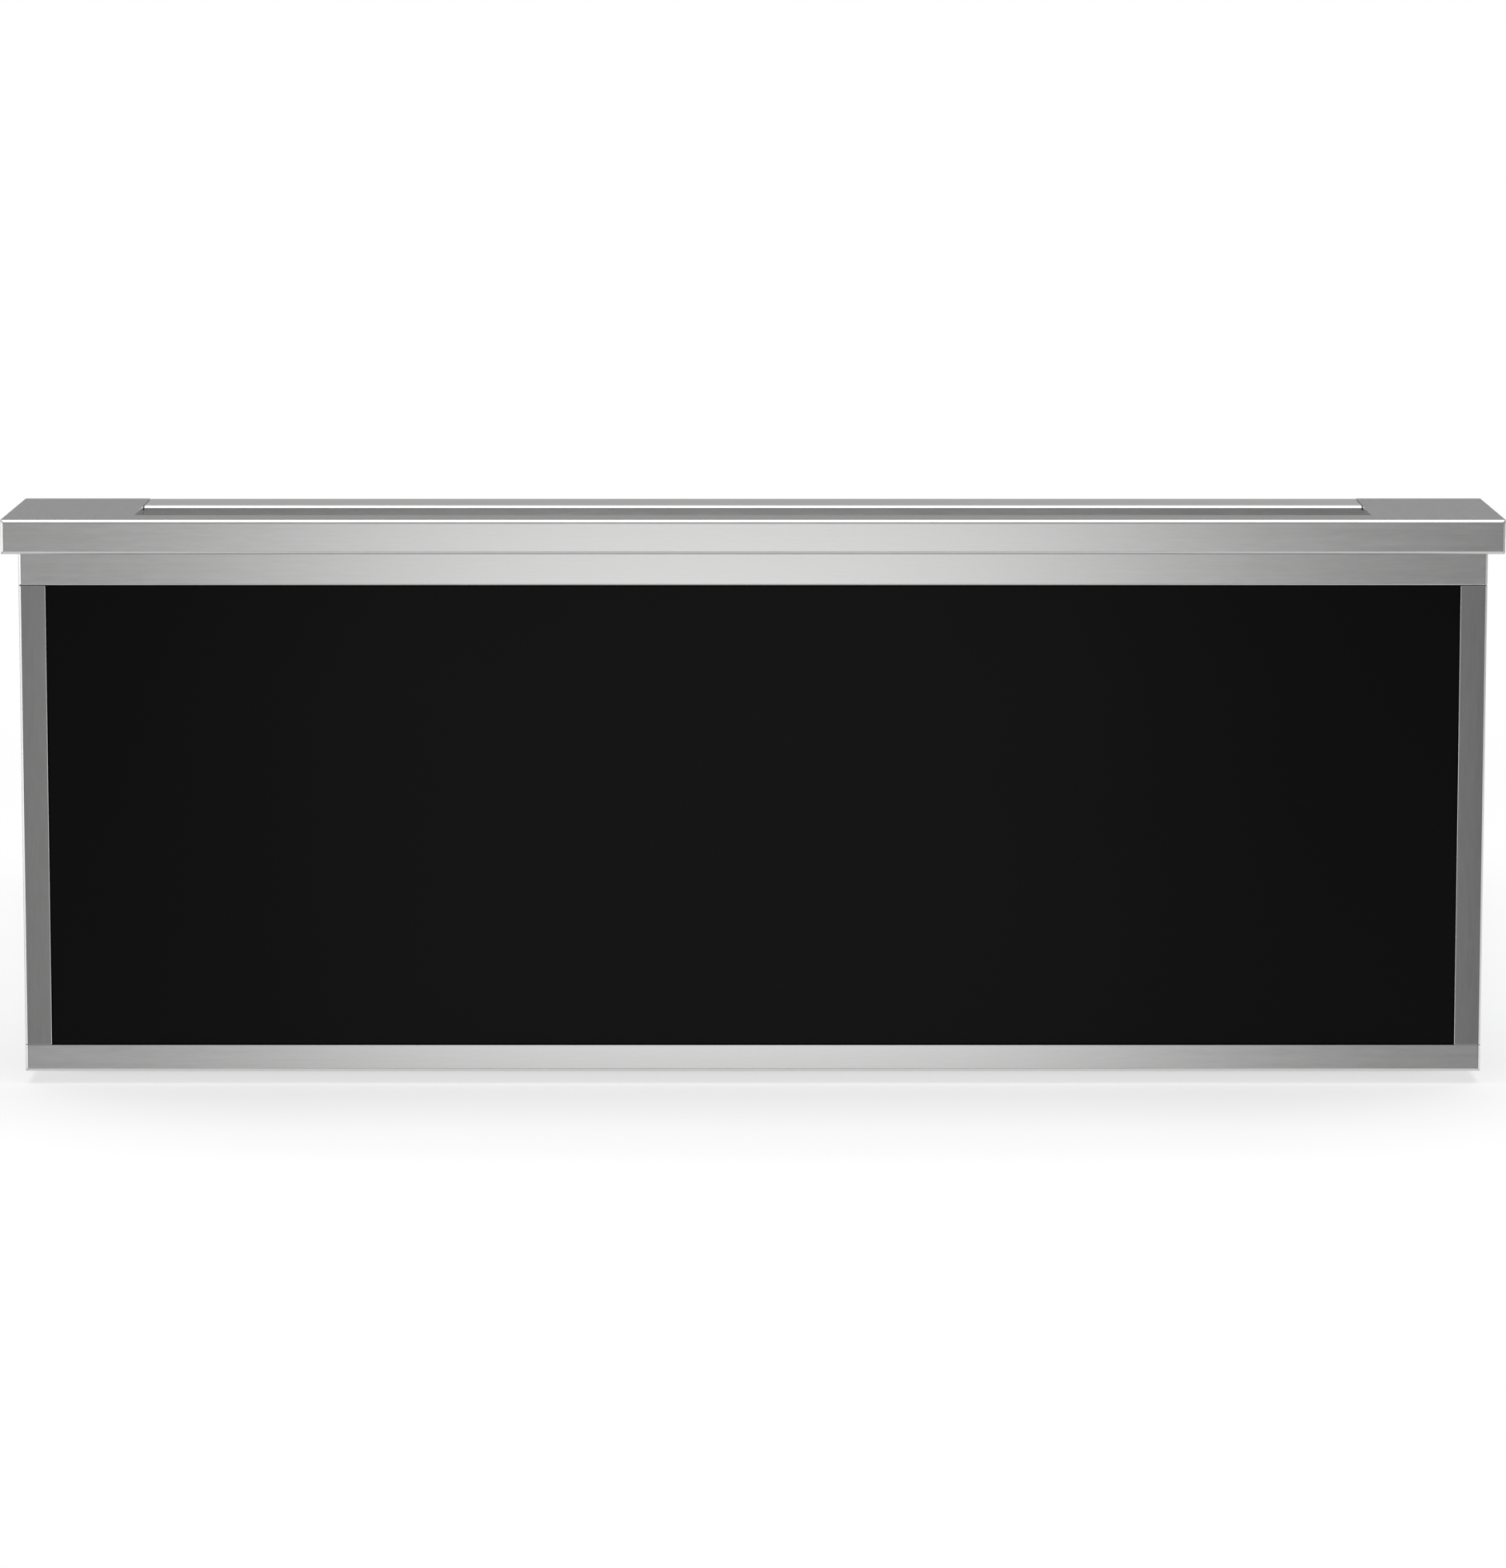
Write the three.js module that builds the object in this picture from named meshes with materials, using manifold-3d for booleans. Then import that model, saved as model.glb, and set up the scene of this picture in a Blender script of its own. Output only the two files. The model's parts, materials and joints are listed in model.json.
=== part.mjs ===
// Built-in warming drawer, 30-inch class: a wide, low stainless front with a black glass panel and a
// full-width ledge handle, on a heated steel chassis with full-extension ball-bearing slides.
// Millimetres. +X is right, +Y is back, +Z is up, and the front faces -Y. Inside this file y = 0 is
// the back of the drawer front; the last lines move the origin under the middle of the whole object.
import * as THREE from 'three';
import { mergeVertices } from 'three/addons/utils/BufferGeometryUtils.js';
import Module from 'manifold-3d';

const wasm = await Module();
wasm.setup();

// ---- Driving dimensions ------------------------------------------------------------------------

const gap = 0.3; // between pieces that touch
const runningGap = 0.7; // beside pieces that slide or turn

// Drawer front
const frontWidth = 756; // 29 3/4 inches, the standard front of a 30-inch built-in
const frontHeight = 296;
const frontThickness = 33;
const frontLift = 6; // bottom of the front above the floor of the cabinet opening
const topRailHeight = 41.5;
const bottomRailHeight = 14;
const stileWidth = 14;
const frameSkin = 1.5; // wall of the formed stainless rails and stiles
const edgeRadius = 2;
const glassThickness = 4;
const glassRecess = 1;
const innerPanelThickness = 1.5;
const innerPanelMargin = 2;

// Handle
const handleReach = 64; // from the front's face to the face of the bar
const barHeight = 17.5;
const barDepth = 21;
const endBlockWidth = 65;
const tailThickness = 2.5; // the handle's cover plates over the top rail

// Chassis
const chassisWidth = 718;
const chassisHeight = 214;
const chassisDepth = 560; // from the back of the front to the back sheet
const sheet = 1.5; // chassis sheet steel
const baseFlange = 12;
const flangeReach = 15; // mounting flanges beyond the chassis sides
const flangeLeg = 28;
const flangeHoleRadius = 2.6;
const flangeHoles = 3;
const frameFaceY = 8; // front frame of the drawer opening
const sideFrame = 20; // width of the front frame beside the opening
const bottomFrame = 25; // top edge of the front frame's bottom bar
const topFrame = 19; // height of the front frame's top bar

// Heated cavity
const linerThickness = 1.2;
const linerFloor = 10; // underside of the liner's floor
const topInsulation = 13;
const fanSpace = 38; // between the liner's back and the chassis back
const elementRadius = 3.25;
const elementLift = 3; // under the element
const hairpinRadius = 60;
const deflectorThickness = 1;

// Drawer tub, rack and moisture vent
const tubWall = 1.2;
const tubDepth = 480;
const tubFloor = 30; // underside of the tub
const tubRim = 180; // top of the tub
const rimWidth = 6;
const tubCorner = 14;
const ventSlots = 6;
const ventPitch = 14;
const ventSlotWidth = 5;
const ventSlotHeight = 14;
const ventLift = 18; // from the rim down to the top of the slots
const ventPlate = 1;
const rackHeight = 66;
const rackDepth = 215;
const rackWires = 12;
const rackFrameRadius = 3;
const rackWireRadius = 1.8;

// Slides
const slideHeight = 46;
const slideWidth = 13;
const slideLength = 480;
const slideSteel = 1.3;
const slideCentre = 105; // height of the slides' centre line
const ballGap = 3.2; // between two members, where the balls run
const cageSteel = 0.8;
const cageLength = 220;
const drawerTravel = 440;
const leverLength = 60;
const leverHeight = 8;
const leverThickness = 3;

// Controls
const podHeight = 46; // control housing above the chassis top
const podDepth = 110;
const podSheet = 1.2;
const fasciaThickness = 3;
const fasciaFaceY = 5.5;
const buttonWidth = 18;
const buttonHeight = 12;
const buttonPitch = 34;
const buttonStand = 1.5; // proud of the fascia
const buttonTravel = 1.2;
const displayWidth = 90;
const displayHeight = 20;
const boardThickness = 1.6;

// Fan, cord bushing and thermostats
const fanRadius = 52;
const fanWidth = 12;
const fanBlades = 9;
const motorRadius = 30;
const motorLength = 27;
const shaftRadius = 3;
const bushingRadius = 10.5;
const cordBore = 5;

// ---- Sizes that follow -------------------------------------------------------------------------

const halfFront = frontWidth / 2;
const frontTop = frontLift + frontHeight;
const frontFaceY = -frontThickness;
const frameBackY = -innerPanelThickness - gap;
const openingBottom = frontLift + bottomRailHeight;
const openingTop = frontTop - topRailHeight;
const halfOpening = halfFront - stileWidth;
const glassBackY = frontFaceY + glassRecess + glassThickness;

const halfChassis = chassisWidth / 2;
const sideOuter = halfChassis - sheet - gap;
const sideInner = sideOuter - sheet;
const frameBackFaceY = frameFaceY + sheet;
const halfMouth = sideOuter - sideFrame;
const mouthTop = chassisHeight - topFrame;
const cavityY = frameBackFaceY + gap;
const rearSheetY = chassisDepth - sheet;
const linerBackY = rearSheetY - fanSpace;
const linerTop = chassisHeight - sheet - gap - topInsulation - gap;
const linerFloorTop = linerFloor + linerThickness;

const tubFrontY = gap;
const tubBackY = tubFrontY + tubDepth;
const halfTub = halfMouth - gap - slideWidth - gap;
const fasciaBackY = fasciaFaceY + fasciaThickness;
const podTop = chassisHeight + podHeight;
const podBackY = frameFaceY + podDepth;
const fasciaBottom = chassisHeight + 2;
const fasciaTop = podTop - 2;
const fasciaCentre = (fasciaBottom + fasciaTop) / 2;
const buttonFlangeBackY = fasciaBackY + gap + 1;
const buttonBackY = fasciaBackY + 3;
const boardY = buttonBackY + buttonTravel + gap;
const fanCentre = slideCentre;
const fanFrontY = linerBackY - gap - 3 - fanWidth;

// ---- Geometry helpers --------------------------------------------------------------------------

const extrusionBasis = {
  x: [[0, 1, 0], [0, 0, 1], [1, 0, 0]],
  y: [[1, 0, 0], [0, 0, 1], [0, -1, 0]],
  z: [[1, 0, 0], [0, 1, 0], [0, 0, 1]],
};

/** A box between two limits on each axis. */
function box([x0, x1], [y0, y1], [z0, z1]) {
  const geometry = new THREE.BoxGeometry(x1 - x0, y1 - y0, z1 - z0);
  return geometry.translate((x0 + x1) / 2, (y0 + y1) / 2, (z0 + z1) / 2);
}

/** A closed outline through corners [x, y, radius]; a corner with no radius stays sharp. */
function outline(corners, path = new THREE.Shape()) {
  corners.forEach(([x, y, radius = 0], index) => {
    const corner = new THREE.Vector2(x, y);
    const before = new THREE.Vector2(...corners.at(index - 1)).sub(corner).setLength(radius).add(corner);
    const after = new THREE.Vector2(...corners[(index + 1) % corners.length]);
    after.sub(corner).setLength(radius).add(corner);
    if (index === 0) path.moveTo(before.x, before.y);
    else path.lineTo(before.x, before.y);
    if (radius > 0) path.quadraticCurveTo(x, y, after.x, after.y);
  });
  path.closePath();
  return path;
}

function rectangle([u0, u1], [v0, v1], radius = 0, path = new THREE.Shape()) {
  return outline([[u0, v0, radius], [u1, v0, radius], [u1, v1, radius], [u0, v1, radius]], path);
}

/** Extrudes an outline along x (outline in y, z), y (outline in x, z) or z (outline in x, y). */
function extrude(shape, axis, [from, to], bevel = 0) {
  const geometry = new THREE.ExtrudeGeometry(shape, {
    depth: to - from - 2 * bevel,
    curveSegments: 4,
    bevelEnabled: bevel > 0,
    bevelThickness: bevel,
    bevelSize: bevel,
    bevelOffset: -bevel,
    bevelSegments: 2,
  });
  const basis = extrusionBasis[axis].map((direction) => new THREE.Vector3(...direction));
  geometry.applyMatrix4(new THREE.Matrix4().makeBasis(...basis));
  const start = axis === 'y' ? to - bevel : from + bevel;
  return geometry.translate(axis === 'x' ? start : 0, axis === 'y' ? start : 0, axis === 'z' ? start : 0);
}

/** A round bar between two points. */
function rod(from, to, radius, sides = 8) {
  const start = new THREE.Vector3(...from);
  const direction = new THREE.Vector3(...to).sub(start);
  const geometry = new THREE.CylinderGeometry(radius, radius, direction.length(), sides);
  const turn = new THREE.Quaternion().setFromUnitVectors(
    new THREE.Vector3(0, 1, 0),
    direction.clone().normalize(),
  );
  geometry.applyQuaternion(turn);
  return geometry.translate(...start.addScaledVector(direction, 0.5));
}

/** A turned piece about an axis along y through (x, z): profile of [radius, y] points. */
function turned(profile, x, z, sides = 24) {
  const points = profile.map(([radius, y]) => new THREE.Vector2(radius, y));
  return new THREE.LatheGeometry(points, sides).translate(x, 0, z);
}

function toSolid(geometry) {
  const bare = geometry.clone();
  bare.deleteAttribute('normal');
  bare.deleteAttribute('uv');
  const merged = mergeVertices(bare);
  const triVerts = new Uint32Array(merged.index.array);
  const solid = new wasm.Manifold(
    new wasm.Mesh({ numProp: 3, vertProperties: merged.attributes.position.array, triVerts }),
  );
  return solid;
}

function toGeometry(solid) {
  const mesh = solid.getMesh();
  const geometry = new THREE.BufferGeometry();
  geometry.setAttribute('position', new THREE.Float32BufferAttribute(mesh.vertProperties, 3));
  geometry.setIndex(new THREE.Uint32BufferAttribute(mesh.triVerts, 1));
  geometry.computeVertexNormals();
  return geometry;
}

function cut(body, ...tools) {
  return toGeometry(tools.reduce((solid, tool) => solid.subtract(toSolid(tool)), toSolid(body)));
}

function join(first, ...others) {
  return toGeometry(others.reduce((solid, other) => solid.add(toSolid(other)), toSolid(first)));
}

/** The limits of a pair, mirrored to the left when side is -1. */
function mirrored(side, near, far) {
  return side > 0 ? [near, far] : [-far, -near];
}

/** Evenly spaced positions, centred on zero. */
function spaced(count, pitch) {
  return Array.from({ length: count }, (_, index) => (index - (count - 1) / 2) * pitch);
}

// ---- Drawer front ------------------------------------------------------------------------------

/** A formed rail: a closed-ended channel that is open at the back. */
function rail(zRange, roundTop, pocketTop) {
  const [z0, z1] = zRange;
  const topRadius = roundTop ? edgeRadius : 0;
  const profile = outline([
    [frontFaceY, z0, edgeRadius - topRadius],
    [frameBackY, z0],
    [frameBackY, z1],
    [frontFaceY, z1, topRadius],
  ]);
  const bar = extrude(profile, 'x', [-halfFront, halfFront]);
  const pocket = box(
    [frameSkin - halfFront, halfFront - frameSkin],
    [frontFaceY + frameSkin, frameBackY + 1],
    [z0 + frameSkin, pocketTop],
  );
  return cut(bar, pocket);
}

function frontTopRail() {
  const notchFloor = frontTop - tailThickness - gap;
  const body = rail([openingTop, frontTop], true, notchFloor - frameSkin);
  const notches = [-1, 1].map((side) => box(
    mirrored(side, halfFront - endBlockWidth - gap, halfFront + 1),
    [frontFaceY - 1, 1],
    [notchFloor, frontTop + 1],
  ));
  return cut(body, ...notches);
}

function frontBottomRail() {
  return rail([frontLift, openingBottom], false, openingBottom - frameSkin);
}

/** A stile butted between the rails: a channel that is open at the back, rounded outside. */
function frontStile(side) {
  const outer = side * halfFront;
  const inner = side * halfOpening;
  const zRange = [openingBottom + gap, openingTop - gap];
  const profile = outline([
    [inner, frontFaceY],
    [outer, frontFaceY, edgeRadius],
    [outer, frameBackY],
    [inner, frameBackY],
  ]);
  const pocket = box(
    mirrored(side, halfOpening + frameSkin, halfFront - frameSkin),
    [frontFaceY + frameSkin, frameBackY + 1],
    [zRange[0] + frameSkin, zRange[1] - frameSkin],
  );
  return cut(extrude(profile, 'z', zRange), pocket);
}

function frontGlass() {
  return box(
    [gap - halfOpening, halfOpening - gap],
    [frontFaceY + glassRecess, glassBackY],
    [openingBottom + gap, openingTop - gap],
  );
}

function frontInsulation() {
  return box(
    [gap - halfOpening, halfOpening - gap],
    [glassBackY + gap, frameBackY],
    [openingBottom + gap, openingTop - gap],
  );
}

/** Slots of the moisture vent, moved sideways by shift, as cutters between two depths. */
function ventCutters(shift, yRange) {
  const top = tubRim - ventLift;
  return spaced(ventSlots, ventPitch).map((x) => box(
    [x + shift - ventSlotWidth / 2, x + shift + ventSlotWidth / 2],
    yRange,
    [top - ventSlotHeight, top],
  ));
}

function frontInnerPanel() {
  const panel = box(
    [innerPanelMargin - halfFront, halfFront - innerPanelMargin],
    [-innerPanelThickness, 0],
    [frontLift + innerPanelMargin, frontTop - tailThickness - gap],
  );
  return cut(panel, ...ventCutters(0, [-innerPanelThickness - 1, 1]));
}

/** The ledge handle: bar and end blocks in one, with thin tails back over the top rail. */
function barHandle() {
  const barFaceY = frontFaceY - handleReach;
  const barBackY = barFaceY + barDepth;
  const slotHalf = halfFront - endBlockWidth;
  const plan = outline([
    [-halfFront, barFaceY, edgeRadius],
    [halfFront, barFaceY, edgeRadius],
    [halfFront, 0],
    [slotHalf, 0],
    [slotHalf, barBackY, edgeRadius],
    [-slotHalf, barBackY, edgeRadius],
    [-slotHalf, 0],
    [-halfFront, 0],
  ]);
  const whole = extrude(plan, 'z', [frontTop - barHeight, frontTop], edgeRadius / 2);
  const overRail = box(
    [-halfFront - 1, halfFront + 1],
    [frontFaceY - gap, 1],
    [frontTop - barHeight - 1, frontTop - tailThickness],
  );
  return cut(whole, overRail);
}

/** Bulb gasket on the back of the front, pressing on the front frame round the drawer's mouth. */
function frontGasket() {
  const width = 8;
  const inset = 5;
  const outer = [halfMouth + inset + width, bottomFrame - inset - width, mouthTop + inset + width];
  const ring = rectangle([-outer[0], outer[0]], [outer[1], outer[2]], width);
  ring.holes.push(rectangle(
    [width - outer[0], outer[0] - width],
    [outer[1] + width, outer[2] - width],
    width / 2,
    new THREE.Path(),
  ));
  return extrude(ring, 'y', [gap, frameFaceY - gap], 1);
}

// ---- Tub, rack and moisture vent ---------------------------------------------------------------

function drawerTub() {
  const shell = extrude(rectangle([-halfTub, halfTub], [tubFrontY, tubBackY], tubCorner), 'z', [tubFloor, tubRim]);
  const rimOutline = rectangle(
    [-halfTub - rimWidth, halfTub + rimWidth],
    [tubFrontY, tubBackY + rimWidth],
    tubCorner,
  );
  const rim = extrude(rimOutline, 'z', [tubRim - tubWall, tubRim]);
  const inside = rectangle(
    [tubWall - halfTub, halfTub - tubWall],
    [tubFrontY + tubWall, tubBackY - tubWall],
    tubCorner - tubWall,
  );
  const hollow = extrude(inside, 'z', [tubFloor + tubWall, tubRim + 1]);
  return cut(join(shell, rim), hollow, ...ventCutters(0, [tubFrontY - 1, tubFrontY + tubWall + 1]));
}

const ventPlateY = tubFrontY + tubWall + gap;
const ventTravel = ventPitch / 2;
const ventHalfLength = (ventSlots * ventPitch) / 2 + 4;
const ventHalfHeight = ventSlotHeight / 2 + 5;
const ventCentre = tubRim - ventLift - ventSlotHeight / 2;

/** Slotted plate inside the tub's front wall; closed at rest, open after half a slot pitch. */
function ventSlider() {
  const plate = box(
    [-ventHalfLength, ventHalfLength],
    [ventPlateY, ventPlateY + ventPlate],
    [ventCentre - ventHalfHeight, ventCentre + ventHalfHeight],
  );
  const slotted = cut(plate, ...ventCutters(-ventTravel, [ventPlateY - 1, ventPlateY + ventPlate + 1]));
  const knobY = [ventPlateY + ventPlate / 2, ventPlateY + 8];
  const knob = box([-ventPitch / 2 + ventTravel - 2, ventPitch / 2 + ventTravel - 5], knobY, [
    ventCentre - 6,
    ventCentre + 6,
  ]);
  return join(slotted, knob);
}

/** Folded strip that holds one long edge of the vent slider. */
function ventGuide(direction) {
  const edge = ventCentre + direction * (ventHalfHeight + gap);
  const outer = edge + direction * 4;
  const lip = edge - direction * 2.5;
  const lipY = ventPlateY + ventPlate + gap;
  const profile = outline([
    [ventPlateY, edge],
    [lipY, edge],
    [lipY, lip],
    [lipY + ventPlate, lip],
    [lipY + ventPlate, outer],
    [ventPlateY, outer],
  ]);
  const reach = ventHalfLength + ventTravel + 3;
  return extrude(profile, 'x', [-reach, reach]);
}

/** Half-depth wire rack that stands on the tub's floor on two runners. */
function wireRack() {
  const floor = tubFloor + tubWall + gap + rackFrameRadius;
  const top = floor + rackHeight - 2 * rackFrameRadius;
  const x = halfTub - tubWall - 30;
  const back = tubBackY - tubWall - tubCorner;
  const front = back - rackDepth;
  const sideWires = [-x, x].flatMap((side) => [
    rod([side, front, top], [side, back, top], rackFrameRadius),
    rod([side, front, floor], [side, back, floor], rackFrameRadius),
    ...[front, back].map((y) => rod([side, y, floor], [side, y, top], rackFrameRadius)),
    ...[front, back].flatMap((y) => [floor, top].map((z) => {
      const bend = new THREE.SphereGeometry(rackFrameRadius * 1.04, 8, 6);
      return bend.translate(side, y, z);
    })),
  ]);
  const crossWires = [front, back].map((y) => rod([-x, y, top], [x, y, top], rackFrameRadius));
  const shelfWires = spaced(rackWires, (2 * x) / (rackWires + 1)).map((wireX) => (
    rod([wireX, front, top + 1], [wireX, back, top + 1], rackWireRadius)
  ));
  return join(...sideWires, ...crossWires, ...shelfWires);
}

// ---- Ball-bearing slides -----------------------------------------------------------------------

/** A channel: its web between depths web, its lips reaching to depth lipEnd. Depths start at the liner. */
function slideProfile(side, halfHeight, steel, web, lipEnd) {
  const liner = halfMouth - gap;
  const at = (depth) => side * (liner - depth);
  const webFace = web[0] < lipEnd ? web[1] : web[0];
  const webBack = web[0] < lipEnd ? web[0] : web[1];
  return outline([
    [at(webBack), slideCentre - halfHeight],
    [at(lipEnd), slideCentre - halfHeight],
    [at(lipEnd), slideCentre - halfHeight + steel],
    [at(webFace), slideCentre - halfHeight + steel],
    [at(webFace), slideCentre + halfHeight - steel],
    [at(lipEnd), slideCentre + halfHeight - steel],
    [at(lipEnd), slideCentre + halfHeight],
    [at(webBack), slideCentre + halfHeight],
  ]);
}

const outerInside = slideHeight / 2 - slideSteel;
const middleHalf = outerInside - ballGap;
const middleInside = middleHalf - slideSteel;
const innerHalf = middleInside - ballGap;
const cageOuterHalf = middleHalf + (ballGap + cageSteel) / 2;
const cageInnerHalf = innerHalf + (ballGap + cageSteel) / 2;
const slideStartY = cavityY + 2;
const outerWeb = [0, slideSteel];
const cageOuterWeb = [outerWeb[1] + gap, outerWeb[1] + gap + cageSteel];
const middleWeb = [cageOuterWeb[1] + gap, cageOuterWeb[1] + gap + slideSteel];
const cageInnerWeb = [middleWeb[1] + gap, middleWeb[1] + gap + cageSteel];
const innerWeb = [slideWidth - slideSteel, slideWidth];
const lipEnd = slideWidth - 1;

function slideOuter(side) {
  const profile = slideProfile(side, slideHeight / 2, slideSteel, outerWeb, lipEnd);
  return extrude(profile, 'y', [slideStartY, slideStartY + slideLength]);
}

function slideMiddle(side) {
  const profile = slideProfile(side, middleHalf, slideSteel, middleWeb, lipEnd);
  return extrude(profile, 'y', [slideStartY, slideStartY + slideLength - 20]);
}

function slideInner(side) {
  const profile = slideProfile(side, innerHalf, slideSteel, innerWeb, cageInnerWeb[1] + gap);
  return extrude(profile, 'y', [slideStartY, slideStartY + slideLength - 10]);
}

/** Cages ride at a quarter and at three quarters of the drawer's travel. */
function ballCage(side, halfHeight, web, share) {
  const start = slideStartY + drawerTravel * share + 8;
  const profile = slideProfile(side, halfHeight, cageSteel, web, lipEnd - 1);
  return extrude(profile, 'y', [start, start + cageLength]);
}

function cageOuter(side) {
  return ballCage(side, cageOuterHalf, cageOuterWeb, 0.25);
}

function cageInner(side) {
  return ballCage(side, cageInnerHalf, cageInnerWeb, 0.25);
}

const leverX = halfMouth - gap - (cageInnerWeb[1] + innerWeb[0]) / 2;
const leverPivotY = slideStartY + slideLength - 110;

/** Plastic lever in the inner member that lets the drawer off its slides. */
function releaseLever(side) {
  const end = leverHeight / 2;
  const shape = outline([
    [leverPivotY - leverLength / 2, slideCentre - end, end],
    [leverPivotY + leverLength / 2, slideCentre - end, end / 2],
    [leverPivotY + leverLength / 2, slideCentre + end, end / 2],
    [leverPivotY - leverLength / 2, slideCentre + end, end],
  ]);
  return extrude(shape, 'x', mirrored(side, leverX - leverThickness / 2, leverX + leverThickness / 2));
}

// ---- Chassis -----------------------------------------------------------------------------------

/** Floor pan with upturned side flanges. */
function chassisBase() {
  const profile = outline([
    [-halfChassis, 0],
    [halfChassis, 0],
    [halfChassis, baseFlange],
    [halfChassis - sheet, baseFlange],
    [halfChassis - sheet, sheet],
    [sheet - halfChassis, sheet],
    [sheet - halfChassis, baseFlange],
    [-halfChassis, baseFlange],
  ]);
  return extrude(profile, 'y', [frameFaceY, chassisDepth]);
}

function chassisSide(side) {
  return box(
    mirrored(side, sideInner, sideOuter),
    [cavityY, rearSheetY - gap],
    [sheet + gap, chassisHeight - sheet - gap],
  );
}

function chassisTop() {
  const plate = box([-sideOuter, sideOuter], [frameFaceY, rearSheetY - gap], [chassisHeight - sheet, chassisHeight]);
  const wirePass = rod([halfChassis / 2, podBackY - 20, 0], [halfChassis / 2, podBackY - 20, podTop], 10, 16);
  return cut(plate, wirePass);
}

/** Back sheet with two rows of vent slots and the hole for the cord bushing. */
function chassisRear() {
  const plate = box([-sideOuter, sideOuter], [rearSheetY, chassisDepth], [sheet + gap, chassisHeight]);
  const slots = [chassisHeight - 30, chassisHeight - 50].flatMap((z) => spaced(9, 30).map((x) => (
    box([x - 10, x + 10], [rearSheetY - 1, chassisDepth + 1], [z, z + 5])
  )));
  const cordHole = rod(
    [bushingX, rearSheetY - 1, bushingZ],
    [bushingX, chassisDepth + 1, bushingZ],
    bushingRadius + gap,
    24,
  );
  return cut(plate, ...slots, cordHole);
}

/** Face frame round the drawer's mouth. */
function frontFrame() {
  const ring = rectangle([-sideOuter, sideOuter], [sheet + gap, chassisHeight - sheet - gap]);
  ring.holes.push(rectangle([-halfMouth, halfMouth], [bottomFrame, mouthTop], 0, new THREE.Path()));
  return extrude(ring, 'y', [frameFaceY, frameBackFaceY]);
}

/** Angle that lies on the cabinet's face and carries the mounting screws. */
function mountingFlange(side) {
  const faceY = frameFaceY - sheet - gap - 5.4;
  const profile = outline([
    [side * sideInner, faceY],
    [side * (halfChassis + flangeReach), faceY],
    [side * (halfChassis + flangeReach), faceY + sheet],
    [side * halfChassis, faceY + sheet],
    [side * halfChassis, faceY + flangeLeg],
    [side * (halfChassis - sheet), faceY + flangeLeg],
    [side * (halfChassis - sheet), faceY + sheet],
    [side * sideInner, faceY + sheet],
  ]);
  const zRange = [baseFlange + gap, chassisHeight - gap];
  const holeX = side * (halfChassis + flangeReach / 2);
  const middle = (zRange[0] + zRange[1]) / 2;
  const holes = spaced(flangeHoles, (zRange[1] - zRange[0]) * 0.4).map((z) => (
    rod([holeX, faceY - 1, middle + z], [holeX, faceY + sheet + 1, middle + z], flangeHoleRadius, 16)
  ));
  return cut(extrude(profile, 'z', zRange), ...holes);
}

// ---- Heated cavity -----------------------------------------------------------------------------

const linerOuter = halfMouth + linerThickness + gap;

function linerSide(side) {
  return box(mirrored(side, halfMouth, halfMouth + linerThickness), [cavityY, linerBackY - gap], [linerFloor, linerTop]);
}

function linerPlate(zRange) {
  return box([gap - halfMouth, halfMouth - gap], [cavityY, linerBackY - gap], zRange);
}

/** Back wall of the cavity, with a ring of air holes round the fan's shaft hole. */
function linerRear() {
  const plate = box(
    [-halfMouth - linerThickness, halfMouth + linerThickness],
    [linerBackY, linerBackY + linerThickness],
    [linerFloor, linerTop],
  );
  const through = (x, z, radius) => rod(
    [x, linerBackY - 1, z],
    [x, linerBackY + linerThickness + 1, z],
    radius,
    12,
  );
  return cut(plate, through(0, fanCentre, shaftRadius + runningGap));
}

/** Blanket over the liner's top and sides. */
function insulationBlanket() {
  const outside = sideInner - gap;
  const top = chassisHeight - sheet - gap;
  const profile = outline([
    [-outside, sheet + gap],
    [-linerOuter, sheet + gap],
    [-linerOuter, linerTop + gap],
    [linerOuter, linerTop + gap],
    [linerOuter, sheet + gap],
    [outside, sheet + gap],
    [outside, top],
    [-outside, top],
  ]);
  return extrude(profile, 'y', [cavityY, linerBackY - gap]);
}

function insulationBase() {
  return box([gap - linerOuter, linerOuter - gap], [cavityY, linerBackY], [sheet + gap, linerFloor - gap]);
}

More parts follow.
